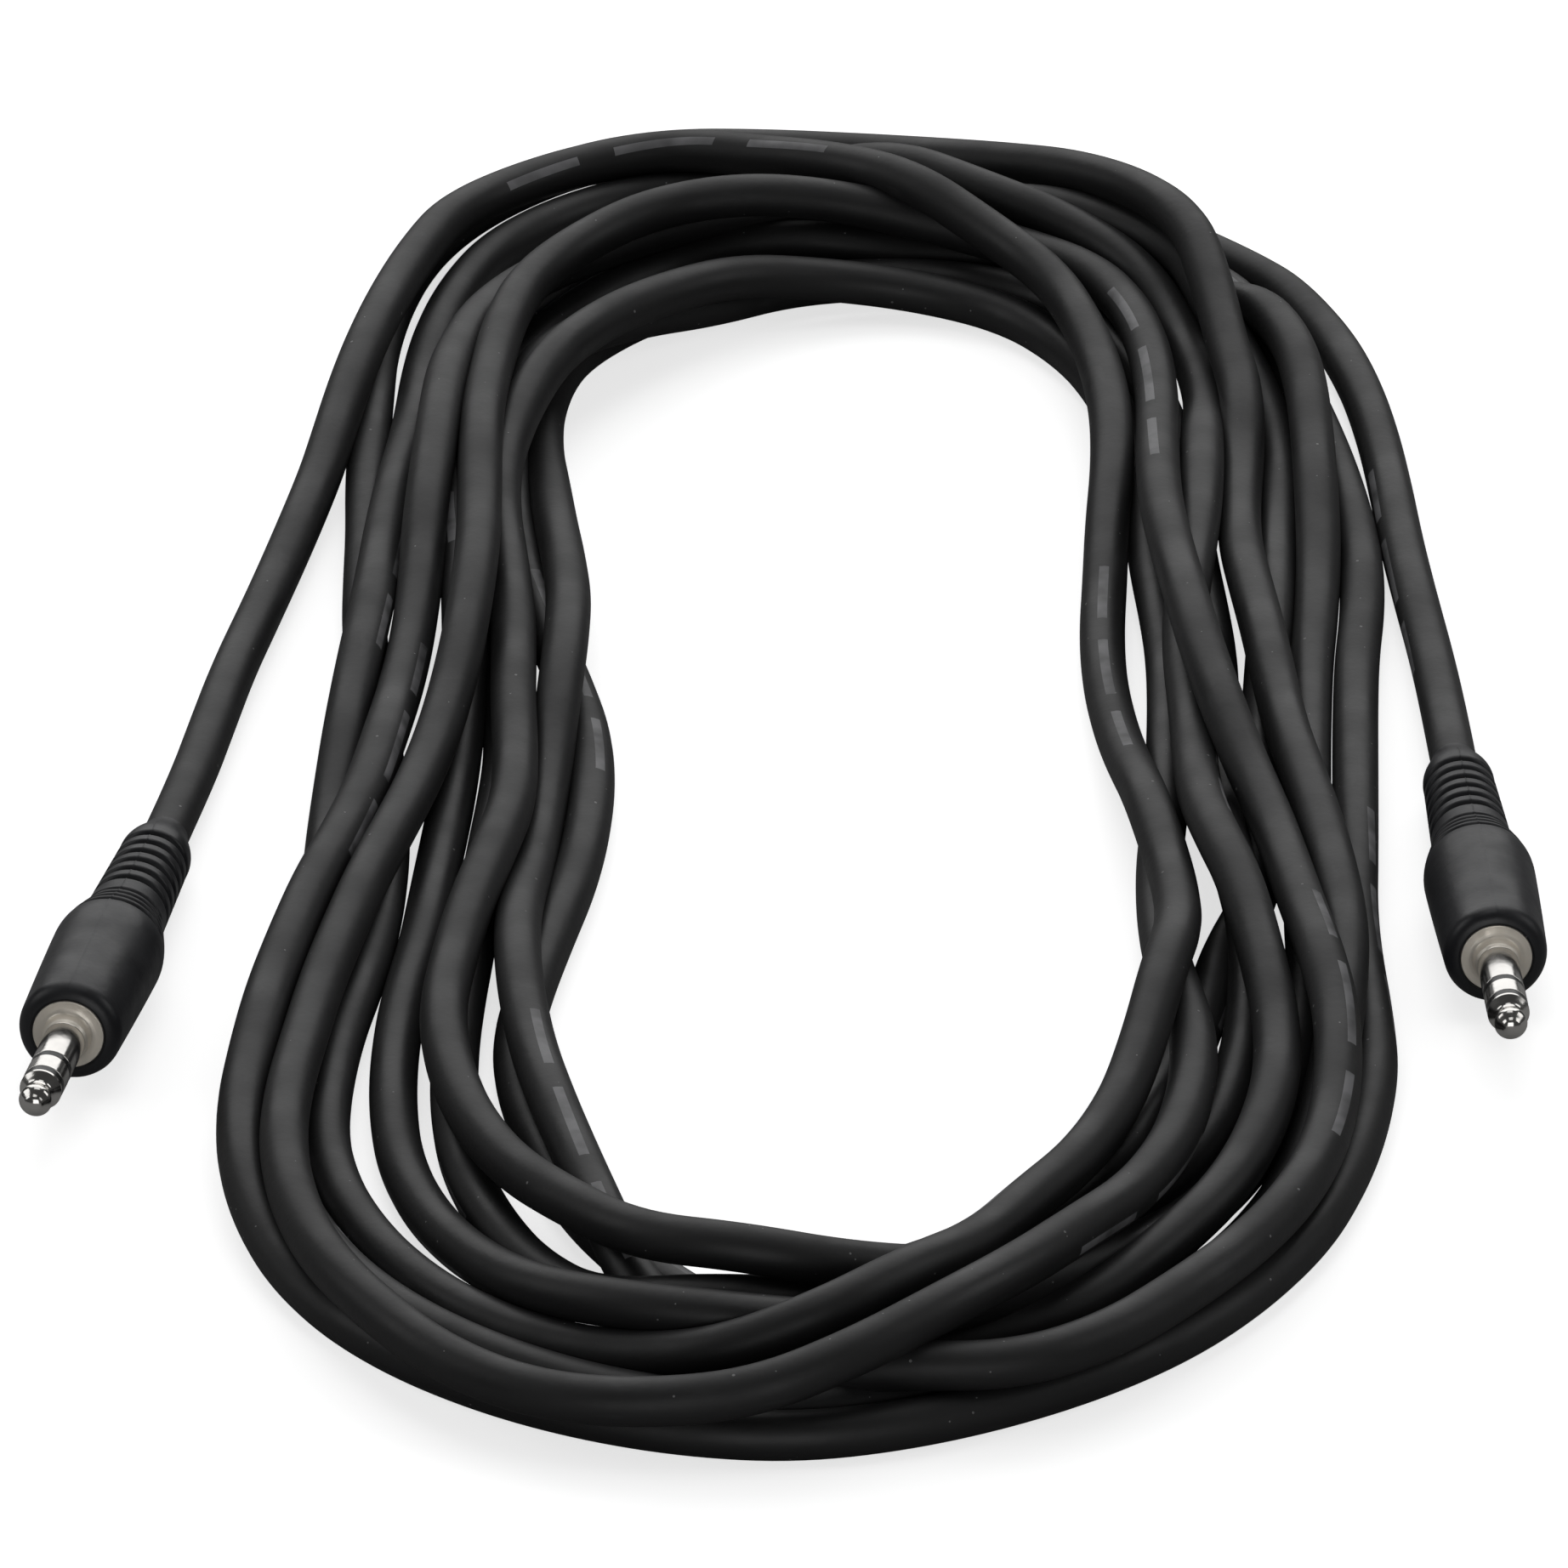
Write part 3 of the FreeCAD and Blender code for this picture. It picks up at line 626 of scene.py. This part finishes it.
# ---------------------------------------------------------------- materials
class Finish:
    """A node material with helpers that keep the finishes' functions short."""

    def __init__(self, name, roughness=0.5, metallic=0.0):
        self.material = bpy.data.materials.new(name)
        self.material.use_nodes = True
        self.nodes = self.material.node_tree.nodes
        self.links = self.material.node_tree.links
        self.shader = self.nodes["Principled BSDF"]
        self.shader.inputs["Roughness"].default_value = roughness
        self.shader.inputs["Metallic"].default_value = metallic
        self.place = self.nodes.new("ShaderNodeTexCoord").outputs["Object"]

    def join(self, source, target):
        self.links.new(source, target)

    def noise(self, scale, detail=3.0, place=None, stretch=None):
        """Cloudy noise, on object coordinates unless another place is given."""
        node = self.nodes.new("ShaderNodeTexNoise")
        node.inputs["Scale"].default_value = scale
        node.inputs["Detail"].default_value = detail
        place = place or self.place
        if stretch:
            mapping = self.nodes.new("ShaderNodeMapping")
            mapping.inputs["Scale"].default_value = stretch
            self.join(place, mapping.inputs["Vector"])
            place = mapping.outputs["Vector"]
        self.join(place, node.inputs["Vector"])
        return node.outputs["Fac"]

    def specks(self, scale, size, share):
        """Round spots of one size, in a share of the cells of a cell pattern."""
        node = self.nodes.new("ShaderNodeTexVoronoi")
        node.inputs["Scale"].default_value = scale
        self.join(self.place, node.inputs["Vector"])
        spot = self.math("LESS_THAN", node.outputs["Distance"], size)
        chosen = self.math("LESS_THAN", self.channel(node.outputs["Color"]), share)
        return self.math("MULTIPLY", spot, chosen)

    def channel(self, colour):
        """The first channel of a colour output."""
        node = self.nodes.new("ShaderNodeSeparateColor")
        self.join(colour, node.inputs[0])
        return node.outputs[0]

    def math(self, operation, *values):
        node = self.nodes.new("ShaderNodeMath")
        node.operation = operation
        for number, value in enumerate(values):
            if isinstance(value, (int, float)):
                node.inputs[number].default_value = value
            else:
                self.join(value, node.inputs[number])
        return node.outputs[0]

    def window(self, value, low, high):
        """1 where the value lies between low and high, and 0 elsewhere."""
        return self.math(
            "MULTIPLY", self.math("GREATER_THAN", value, low),
            self.math("LESS_THAN", value, high),
        )

    def spread(self, value, low, high, to_low, to_high):
        """The value's range from low to high, carried over to another range."""
        node = self.nodes.new("ShaderNodeMapRange")
        for socket, number in zip(
            ("From Min", "From Max", "To Min", "To Max"), (low, high, to_low, to_high)
        ):
            node.inputs[socket].default_value = number
        self.join(value, node.inputs["Value"])
        return node.outputs["Result"]

    def mix(self, amount, first, second):
        """Two colours, or two colour outputs, mixed by an amount."""
        node = self.nodes.new("ShaderNodeMix")
        node.data_type = "RGBA"
        self.join(amount, node.inputs["Factor"])
        for name, colour in (("A", first), ("B", second)):
            target = next(s for s in node.inputs if s.name == name and s.type == "RGBA")
            if isinstance(colour, bpy.types.NodeSocket):
                self.join(colour, target)
            else:
                target.default_value = (*colour, 1)
        return next(o for o in node.outputs if o.type == "RGBA")

    def colour(self, value):
        self.join(value, self.shader.inputs["Base Color"])

    def roughness(self, value):
        self.join(value, self.shader.inputs["Roughness"])

    def bumps(self, *layers):
        """Bump layers on one another, each a height and its depth in metres."""
        normal = None
        for height, depth in layers:
            node = self.nodes.new("ShaderNodeBump")
            node.inputs["Distance"].default_value = depth
            self.join(height, node.inputs["Height"])
            if normal:
                self.join(normal, node.inputs["Normal"])
            normal = node.outputs["Normal"]
        self.join(normal, self.shader.inputs["Normal"])


def tinted(colour, factor, lift=0.0):
    """A colour made lighter or darker, and lifted towards grey."""
    return tuple(min(1.0, c * factor + lift) for c in colour)


def jacket_finish(finishes, sizes):
    """Satin black jacket: handling marks, dust, faint dashes where print would be."""
    f = Finish("jacket_satin_black", finishes.jacket_roughness)
    base = tuple(finishes.jacket_colour)
    lay = f.nodes.new("ShaderNodeUVMap")
    lay.uv_map = "lay"
    split = f.nodes.new("ShaderNodeSeparateXYZ")
    f.join(lay.outputs["UV"], split.inputs[0])
    along, around = split.outputs["X"], split.outputs["Y"]
    patches = f.spread(f.noise(55, 4), 0.35, 0.7, 0, 1)
    colour = f.mix(patches, base, tinted(base, 1.25, 0.004))
    scuffs = f.noise(1, 5, lay.outputs["UV"], stretch=(170, 9, 1))
    scuffed = f.math("MULTIPLY", f.spread(scuffs, 0.6, 0.72, 0, 0.5), patches)
    colour = f.mix(scuffed, colour, tinted(base, 2.0, 0.018))
    dust = f.math(
        "MAXIMUM", f.specks(420, 0.055, 0.28), f.specks(950, 0.075, 0.12)
    )
    colour = f.mix(f.math("MULTIPLY", dust, 0.55), colour, (0.34, 0.34, 0.34))
    printed = print_dashes(f, along, around, sizes.print_pitch)
    colour = f.mix(printed, colour, (0.27, 0.27, 0.28))
    f.colour(colour)
    level = finishes.jacket_roughness
    f.roughness(f.spread(f.noise(120, 4), 0.3, 0.7, level - 0.07, level + 0.1))
    f.bumps((f.noise(240, 3), 0.00006), (f.noise(1500, 2), 0.00002))
    return f.material


def print_dashes(f, along, around, pitch):
    """Plain worn dashes in groups of three, on a side that rolls under and comes back.

    Each dash has its start and its length in millimetres. The dashes' middle round the
    jacket is half a turn from the top, plus two slow sine waves of the distance along,
    so only a few groups come to the top."""
    group = ((6, 9), (19, 11), (34, 9))
    place = f.math("FRACT", f.math("DIVIDE", along, pitch))
    share = MM / pitch
    dashes = None
    for start, length in group:
        dash = f.window(place, start * share, (start + length) * share)
        dashes = dash if dashes is None else f.math("MAXIMUM", dashes, dash)
    slow = f.math("MULTIPLY", f.math("SINE", f.math("MULTIPLY", along, 7.4)), 0.33)
    slower = f.math("MULTIPLY", f.math("SINE", f.math("MULTIPLY", along, 2.9)), 0.27)
    turn = f.math("FRACT", f.math("ADD", f.math("ADD", around, slow), slower))
    band = f.window(turn, 0.465, 0.535)
    worn = f.spread(f.noise(330, 2), 0.3, 0.6, 0.25, 0.75)
    return f.math("MULTIPLY", f.math("MULTIPLY", dashes, band), worn)


def grip_finish(finishes):
    """Smoother black moulding with a cool tone, fine grain and a few rubbed spots."""
    f = Finish("moulding_satin_black", finishes.grip_roughness)
    base = tuple(finishes.grip_colour)
    cloud = f.spread(f.noise(130, 3), 0.35, 0.7, 0, 1)
    colour = f.mix(cloud, base, tinted(base, 1.3, 0.002))
    colour = f.mix(
        f.math("MULTIPLY", f.specks(700, 0.06, 0.12), 0.5), colour, (0.3, 0.3, 0.31)
    )
    f.colour(colour)
    level = finishes.grip_roughness
    f.roughness(f.spread(f.noise(260, 4), 0.3, 0.7, level - 0.06, level + 0.1))
    f.bumps((f.noise(330, 2), 0.00005), (f.noise(2600, 2), 0.000012))
    return f.material


def metal_finish(name, colour, roughness, tarnish, metallic=1.0):
    """Plated metal: cloudy stains, uneven polish and a very fine grain."""
    f = Finish(name, roughness, metallic)
    stains = f.spread(f.noise(420, 4), 0.45, 0.75, 0, 1)
    f.colour(f.mix(f.math("MULTIPLY", stains, tarnish), colour, tinted(colour, 0.55)))
    f.roughness(f.spread(f.noise(900, 3), 0.3, 0.7, 0.75 * roughness, 1.5 * roughness))
    f.bumps((f.noise(2200, 2), 0.000006))
    return f.material


def plain_finish(name, colour, roughness, metallic=0.0, scale=500.0, depth=0.00002):
    """A simple part's finish: clouded colour, uneven gloss and a fine grain."""
    f = Finish(name, roughness, metallic)
    cloud = f.spread(f.noise(scale, 3), 0.3, 0.7, 0, 1)
    f.colour(f.mix(cloud, tinted(colour, 0.8), tinted(colour, 1.12)))
    f.roughness(f.spread(f.noise(2 * scale, 3), 0.3, 0.7, 0.8 * roughness, 1.2 * roughness))
    f.bumps((f.noise(4 * scale, 2), depth))
    return f.material


def floor_finish():
    """Pale paper that looks evenly lit, and throws little of its light on the object."""
    f = Finish("floor_paper", 0.9)
    f.colour(f.mix(f.noise(6, 2), (0.93, 0.93, 0.93), (0.95, 0.95, 0.95)))
    f.shader.inputs["Specular IOR Level"].default_value = 0.1
    f.shader.inputs["Emission Color"].default_value = (1, 1, 1, 1)
    f.shader.inputs["Emission Strength"].default_value = 0.7
    quiet = f.nodes.new("ShaderNodeBsdfDiffuse")
    quiet.inputs["Color"].default_value = (0.34, 0.34, 0.34, 1)
    choice = f.nodes.new("ShaderNodeMixShader")
    f.join(f.nodes.new("ShaderNodeLightPath").outputs["Is Camera Ray"], choice.inputs[0])
    f.join(quiet.outputs[0], choice.inputs[1])
    f.join(f.shader.outputs[0], choice.inputs[2])
    f.join(choice.outputs[0], f.nodes["Material Output"].inputs["Surface"])
    return f.material


# ---------------------------------------------------------------- the plug's pieces
def mould_outline(sizes, angle):
    """Radii of the outer moulding at each station along it and each angle round it.

    The line flares from the cable to the collar, grows slowly along the ribs, swells
    in an S over the shoulder and narrows a little along the grip to a quarter round.
    The ribs' grooves are smooth dips once in each pitch, and the shoulder has four
    fine ones. Both kinds are shallower at the two sides, where the mould's halves
    draw apart, and fine ones fade out there. A low flash line runs along top and foot."""
    ribs_end = COLLAR_END + sizes.rib_count * sizes.rib_pitch
    shoulder = ribs_end + BAND_AFTER_RIBS
    grip = shoulder + SHOULDER_RUN
    rim = FACE - sizes.rim_radius
    x = np.concatenate([
        np.linspace(0, COLLAR_END, 16, endpoint=False),
        np.linspace(COLLAR_END, ribs_end, 16 * sizes.rib_count, endpoint=False),
        np.linspace(ribs_end, grip, 84, endpoint=False),
        np.linspace(grip, rim, 26, endpoint=False),
        rim + sizes.rim_radius * np.sin(np.linspace(0, math.pi / 2, 9)),
    ])
    collar = sizes.collar_radius
    neck = collar + sizes.relief_growth
    radius = CABLE_LIP_R + (collar - CABLE_LIP_R) * blend(-0.4, 0.85 * COLLAR_END, x)
    radius += sizes.relief_growth * np.clip((x - COLLAR_END) / (ribs_end - COLLAR_END), 0, 1)
    radius += (sizes.grip_rear_radius - neck) * blend(shoulder - 0.9, grip + 0.8, x)
    taper = np.clip((x - grip) / (rim - grip), 0, 1)
    radius -= (sizes.grip_rear_radius - sizes.grip_front_radius) * taper**1.3
    over_rim = np.clip((x - rim) / sizes.rim_radius, 0, 1)
    radius -= sizes.rim_radius * (1 - np.sqrt(1 - over_rim**2))
    phase = (x - COLLAR_END) / sizes.rib_pitch
    in_ribs = (x >= COLLAR_END) & (x <= ribs_end)
    off_groove = np.abs(phase % 1 - 0.27)
    dips = np.where(in_ribs, sizes.rib_depth * (1 - blend(0.04, 0.27, off_groove)), 0)
    rise = (x - shoulder) / SHOULDER_RUN * (FINE_GROOVES + 1)
    nearest = np.round(rise)
    fine = np.where(
        (nearest >= 1) & (nearest <= FINE_GROOVES),
        FINE_DEPTH * (1 - blend(0.08, 0.4, np.abs(rise - nearest))), 0,
    )
    facing = np.abs(np.cos(angle))
    flash = np.exp(-((np.sin(angle) / 0.018) ** 2)) * blend(1.0, 3.0, x)[:, None]
    flash *= FLASH_HEIGHT * (1 - over_rim)[:, None]
    radii = (
        radius[:, None]
        - dips[:, None] * (0.3 + 0.7 * facing**1.2)
        - fine[:, None] * blend(0.15, 0.62, facing)
        + flash
    )
    return x, radii


def overmould_grid(sizes, plug):
    """The moulding as one closed shell: its outer line, its face, and its bore.

    Its columns are 4 degrees apart, with closer ones beside the flash line."""
    extra = np.array([-1.8, -0.9, 0.9, 1.8])
    degrees = np.concatenate([np.arange(0, 360, 4.0), 360 + extra[:2], extra[2:], 180 + extra])
    angle = np.radians(np.sort(degrees))
    x, radii = mould_outline(sizes, angle)
    inner = np.array([
        (FACE, FACE_LIP_R), (FACE, DISC_R + 0.08), (FACE - 0.04, DISC_R + 0.03),
        (FACE - 0.12, DISC_R + SLIP), (DISC_BACK, DISC_R + SLIP),
        (DISC_BACK, INNER_MOULD_R + SLIP), (INNER_START, INNER_MOULD_R + SLIP),
        (INNER_START, JACKET_R + SLIP), (0.0, JACKET_R + SLIP),
    ])
    x = np.concatenate([x, inner[:, 0]])
    radii = np.vstack([radii, np.repeat(inner[:, 1:], len(angle), 1)])
    along = np.repeat(x[:, None], len(angle), 1)
    return on_plug(along, radii, angle[None, :], plug)


def ring_outline(*corners, radius=0.08):
    """A closed outline of a hollow turned piece with its corners broken."""
    return softened(corners, radius)


def sleeve_outline():
    """Barrel, face disc, boss with its hollow foot, and the bare sleeve."""
    foot = [(FACE, 2.7), (FACE + 0.03, 2.35), (FACE + 0.16, 2.06), (FACE + 0.42, 1.95)]
    return ring_outline(
        (BARREL_BACK, SLEEVE_BORE_R), (BARREL_BACK, BARREL_R), (DISC_BACK, BARREL_R),
        (DISC_BACK, DISC_R), (FACE, DISC_R), *foot, (BOSS_END - 0.3, BOSS_R), (BOSS_END, PIN_R),
        (SLEEVE_END, PIN_R), (SLEEVE_END, SLEEVE_BORE_R), radius=0.12,
    )


def band_outline(back, front, inner, outer_start, outer_end):
    """An insulating sleeve with the black band at its front end."""
    return ring_outline(
        (back, inner), (back, front), (outer_start, front), (outer_start, BAND_R),
        (outer_end, BAND_R), (outer_end, inner), radius=0.05,
    )


def tip_outline():
    """Stem, land, waist, ball and nose. The waist and the ball are one smooth line
    through chosen radii, and the nose a quarter round."""
    body = np.array([
        (BAND_2_END + 0.32, PIN_R), (BAND_2_END + 0.6, 1.44), (BAND_2_END + 0.9, 1.12),
        (BAND_2_END + 1.4, 1.06), (BAND_2_END + 1.85, 1.24), (BAND_2_END + 2.25, 1.38),
        (BAND_2_END + 2.65, 1.28), (NOSE - 0.42, 0.86),
    ])
    waist = through(body, 5)
    turn = np.linspace(math.radians(35), math.radians(88), 9)
    nose_run, nose_radius = 0.55, 0.95
    nose = np.column_stack([
        NOSE - nose_run + nose_run * np.sin(turn), nose_radius * np.cos(turn)
    ])
    nose = nose[nose[:, 1] < waist[-1, 1]]
    stem = np.array([
        (RIVET_BACK, 0.05), (RIVET_BACK, RIVET_R - 0.06), (RIVET_BACK + 0.06, RIVET_R),
        (TIP_LUG_BACK, RIVET_R), (TIP_LUG_BACK, STEM_R), (BAND_2_END, STEM_R),
        (BAND_2_END, PIN_R - 0.05), (BAND_2_END + 0.05, PIN_R),
    ])
    return np.vstack([stem, waist, nose])


def contact_outlines():
    """Every piece of the pin by name: its outline, its finish, its slot, and whether
    its outline closes on itself."""
    return {
        "sleeve_contact": (sleeve_outline(), "disc", "collar_metal", True),
        "ring_insulator": (
            band_outline(
                WASHER_1_BACK, SLEEVE_BORE_R - SLIP, RING_TUBE_R + SLIP, SLEEVE_END, BAND_1_END
            ), "band", "black_insulator", True,
        ),
        "ring_contact": (
            ring_outline(
                (RING_LUG_BACK, RING_BORE_R), (RING_LUG_BACK, RING_TUBE_R),
                (BAND_1_END, RING_TUBE_R), (BAND_1_END, PIN_R), (RING_END, PIN_R),
                (RING_END, RING_BORE_R), radius=0.06,
            ), "pin", "pin_metal", True,
        ),
        "tip_insulator": (
            band_outline(
                WASHER_2_BACK, RING_BORE_R - SLIP, STEM_R + SLIP, RING_END, BAND_2_END
            ), "band", "black_insulator", True,
        ),
        "tip_contact": (tip_outline(), "pin", "pin_metal", False),
    }


def dress(piece, material, slot, *nodes):
    """Gives a new piece its finish and its body, and hides the nodes that it stands for. The
    slot is not used.
    """
    piece.data.materials.append(material)
    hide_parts(*nodes)
    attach(piece, "root")


def plate_beyond(piece, plug, station, material):
    """Gives a second finish to the faces further along the plug's axis than a station."""
    origin, axis, _, _ = plug
    mesh = piece.data
    mesh.materials.append(material)
    centres = np.empty(len(mesh.polygons) * 3)
    mesh.polygons.foreach_get("center", centres)
    along = (centres.reshape(-1, 3) - origin) @ axis
    mesh.polygons.foreach_set("material_index", (along > station * MM).astype(np.int32))


# ---------------------------------------------------------------- operators
class AUDIOCABLE_OT_camera(Operator):
    """Stand the camera in front of the coil, looking down on it"""

    bl_idname = "audiocable.camera"
    bl_label = "Stand the Camera"

    def execute(self, context):
        sizes = context.scene.audiocable_stage
        camera = bpy.data.objects.new("studio_camera", bpy.data.cameras.new("studio_camera"))
        camera.data.sensor_width = 36.0
        camera.data.lens = sizes.lens
        camera.data.clip_start = 0.05
        camera.location = (
            sizes.camera_aside, -sizes.camera_distance, sizes.camera_height
        )
        camera.rotation_euler = (math.pi / 2 - sizes.camera_dip, 0, 0)
        context.scene.collection.objects.link(camera)
        context.scene.camera = camera
        return {"FINISHED"}


class AUDIOCABLE_OT_lay_cable(Operator):
    """Lay the whole cable, from plug to plug, in its loose coil"""

    bl_idname = "audiocable.lay_cable"
    bl_label = "Lay the Cable"

    def execute(self, context):
        sizes, finishes = context.scene.audiocable_cord, context.scene.audiocable_finishes
        line, along = evenly(spline_line(route(sizes)), sizes.ring_pitch)
        grid, lay = tube_grid(line, along, sizes.diameter / 2, sizes.sides)
        cable = grid_piece("cable_jacket", grid, lay)
        dress(
            cable, jacket_finish(finishes, sizes), "cable_jacket",
            "coil_turns", "cable_end_a", "cable_end_b",
        )
        context.scene["audiocable_line"] = line.ravel().tolist()
        return {"FINISHED"}


class AUDIOCABLE_OT_mould_grips(Operator):
    """Mould the strain relief, shoulder and grip of both plugs"""

    bl_idname = "audiocable.mould_grips"
    bl_label = "Mould the Grips"

    def execute(self, context):
        material = grip_finish(context.scene.audiocable_finishes)
        for letter in PLUGS:
            grid = overmould_grid(context.scene.audiocable_plug, plug_frame(letter))
            piece = grid_piece(f"grip_{letter}", grid, round_trip=True, sharp=50)
            dress(piece, material, "plug_rubber", f"plug_{letter}_overmould")
        return {"FINISHED"}


class AUDIOCABLE_OT_turn_contacts(Operator):
    """Turn the contacts and insulating bands of both pins"""

    bl_idname = "audiocable.turn_contacts"
    bl_label = "Turn the Contacts"

    def execute(self, context):
        finishes = context.scene.audiocable_finishes
        materials = {
            "pin": metal_finish(
                "nickel_bright", tuple(finishes.nickel_colour), roughness=0.14, tarnish=0.25
            ),
            "disc": metal_finish(
                "nickel_warm", tuple(finishes.disc_colour), roughness=0.42, tarnish=0.2,
                metallic=0.6,
            ),
            "band": plain_finish("band_black", (0.012, 0.012, 0.012), roughness=0.3),
        }
        for letter in PLUGS:
            plug = plug_frame(letter)
            for name, (outline, finish, slot, closes) in contact_outlines().items():
                grid = turned(outline, plug)
                piece = grid_piece(f"{name}_{letter}", grid, round_trip=closes, sharp=35)
                dress(piece, materials[finish], slot, f"plug_{letter}_{name}")
                if name == "sleeve_contact":
                    plate_beyond(piece, plug, BOSS_END - 0.02, materials["pin"])
        return {"FINISHED"}


class AUDIOCABLE_OT_finish_inside(Operator):
    """Give the lugs, cores, solder and inner moulding their finishes"""

    bl_idname = "audiocable.finish_inside"
    bl_label = "Finish the Inside"

    def execute(self, context):
        finishes = context.scene.audiocable_finishes
        brass = plain_finish("lug_brass", (0.62, 0.44, 0.17), 0.3, metallic=1.0)
        materials = {
            "ground_lug": brass, "ring_lug": brass, "tip_lug": brass,
            "lug_washers": plain_finish("washer_black", (0.02, 0.02, 0.02), 0.45),
            "jacket_end": plain_finish(
                "jacket_inside", tuple(finishes.jacket_colour), finishes.jacket_roughness
            ),
            "core_ring": plain_finish("core_red", (0.45, 0.03, 0.025), 0.4),
            "core_tip": plain_finish("core_white", (0.75, 0.74, 0.7), 0.4),
            "shield_pigtail": plain_finish(
                "copper_bare", (0.72, 0.36, 0.2), 0.32, metallic=1.0, scale=1500, depth=0.00005
            ),
            "solder_joints": plain_finish(
                "solder_grey", (0.58, 0.58, 0.6), 0.35, metallic=1.0
            ),
            "inner_mould": plain_finish("inner_moulding", (0.72, 0.7, 0.62), 0.5),
        }
        for letter in PLUGS:
            for name in INNER_NODES:
                mesh = frame["nodes"][f"plug_{letter}_{name}"].data
                mesh.materials.clear()
                mesh.materials.append(materials[name])
        return {"FINISHED"}


class AUDIOCABLE_OT_declare_cord(Operator):
    """Gather the far plug's pieces and the near plug's exit, and clear the cable's stored line
    """

    bl_idname = "audiocable.declare_cord"
    bl_label = "Declare the Cord"

    def execute(self, context):
        far = [bpy.data.objects["grip_b"]]
        far += [bpy.data.objects[f"{name}_b"] for name in contact_outlines()]
        far += [frame["nodes"][f"plug_b_{name}"] for name in INNER_NODES]
        tuple(plug_frame("a")[0])
        del context.scene["audiocable_line"]
        return {"FINISHED"}


def area_lamp(name, power, width, place):
    """A square lamp at a place, facing the middle of the floor."""
    light = bpy.data.lights.new(name, "AREA")
    light.energy = power
    light.size = width
    lamp = bpy.data.objects.new(name, light)
    lamp.location = place
    lamp.rotation_euler = (Vector() - Vector(place)).to_track_quat("-Z", "Y").to_euler()
    bpy.context.scene.collection.objects.link(lamp)


class AUDIOCABLE_OT_stage(Operator):
    """Lay the plain floor and hang the soft lamps"""

    bl_idname = "audiocable.stage"
    bl_label = "Set the Stage"

    def execute(self, context):
        sizes = context.scene.audiocable_stage
        half = sizes.floor_size / 2
        mesh = bpy.data.meshes.new("studio_floor")
        corners = [(-half, -half, 0), (half, -half, 0), (half, half, 0), (-half, half, 0)]
        mesh.from_pydata(corners, [], [(0, 1, 2, 3)])
        floor = bpy.data.objects.new("studio_floor", mesh)
        context.scene.collection.objects.link(floor)
        mesh.materials.append(floor_finish())
        for name, (power, width, place) in LAMPS.items():
            area_lamp(name, getattr(sizes, power), width, place)
        world = bpy.data.worlds.new("studio_world")
        world.use_nodes = True
        sky = world.node_tree.nodes["Background"]
        sky.inputs["Color"].default_value = (1, 1, 1, 1)
        sky.inputs["Strength"].default_value = sizes.sky
        context.scene.world = world
        context.scene.view_settings.view_transform = "Standard"
        return {"FINISHED"}


class AUDIOCABLE_PT_panel(Panel):
    """Buttons for every step, in order"""

    bl_idname = "AUDIOCABLE_PT_panel"
    bl_label = "Audio Cable"
    bl_space_type = "VIEW_3D"
    bl_region_type = "UI"
    bl_category = "Audio Cable"

    def draw(self, context):
        for step in STEPS:
            self.layout.operator(step.bl_idname)


# ---------------------------------------------------------------- running it
GROUPS = {
    "audiocable_cord": CordSizes,
    "audiocable_plug": PlugSizes,
    "audiocable_finishes": Finishes,
    "audiocable_stage": StageSizes,
}
STEPS = (
    AUDIOCABLE_OT_camera,
    AUDIOCABLE_OT_lay_cable,
    AUDIOCABLE_OT_mould_grips,
    AUDIOCABLE_OT_turn_contacts,
    AUDIOCABLE_OT_finish_inside,
    AUDIOCABLE_OT_declare_cord,
    AUDIOCABLE_OT_stage,
)
CLASSES = (*GROUPS.values(), *STEPS, AUDIOCABLE_PT_panel)


def register():
    for cls in CLASSES:
        bpy.utils.register_class(cls)
    for name, group in GROUPS.items():
        setattr(bpy.types.Scene, name, PointerProperty(type=group))


def unregister():
    for name in GROUPS:
        delattr(bpy.types.Scene, name)
    for cls in reversed(CLASSES):
        bpy.utils.unregister_class(cls)


def main():
    register()
    bpy.ops.audiocable.camera()
    bpy.ops.audiocable.lay_cable()
    bpy.ops.audiocable.mould_grips()
    bpy.ops.audiocable.turn_contacts()
    bpy.ops.audiocable.finish_inside()
    bpy.ops.audiocable.declare_cord()
    bpy.ops.audiocable.stage()


if __name__ == "__main__":
    main()
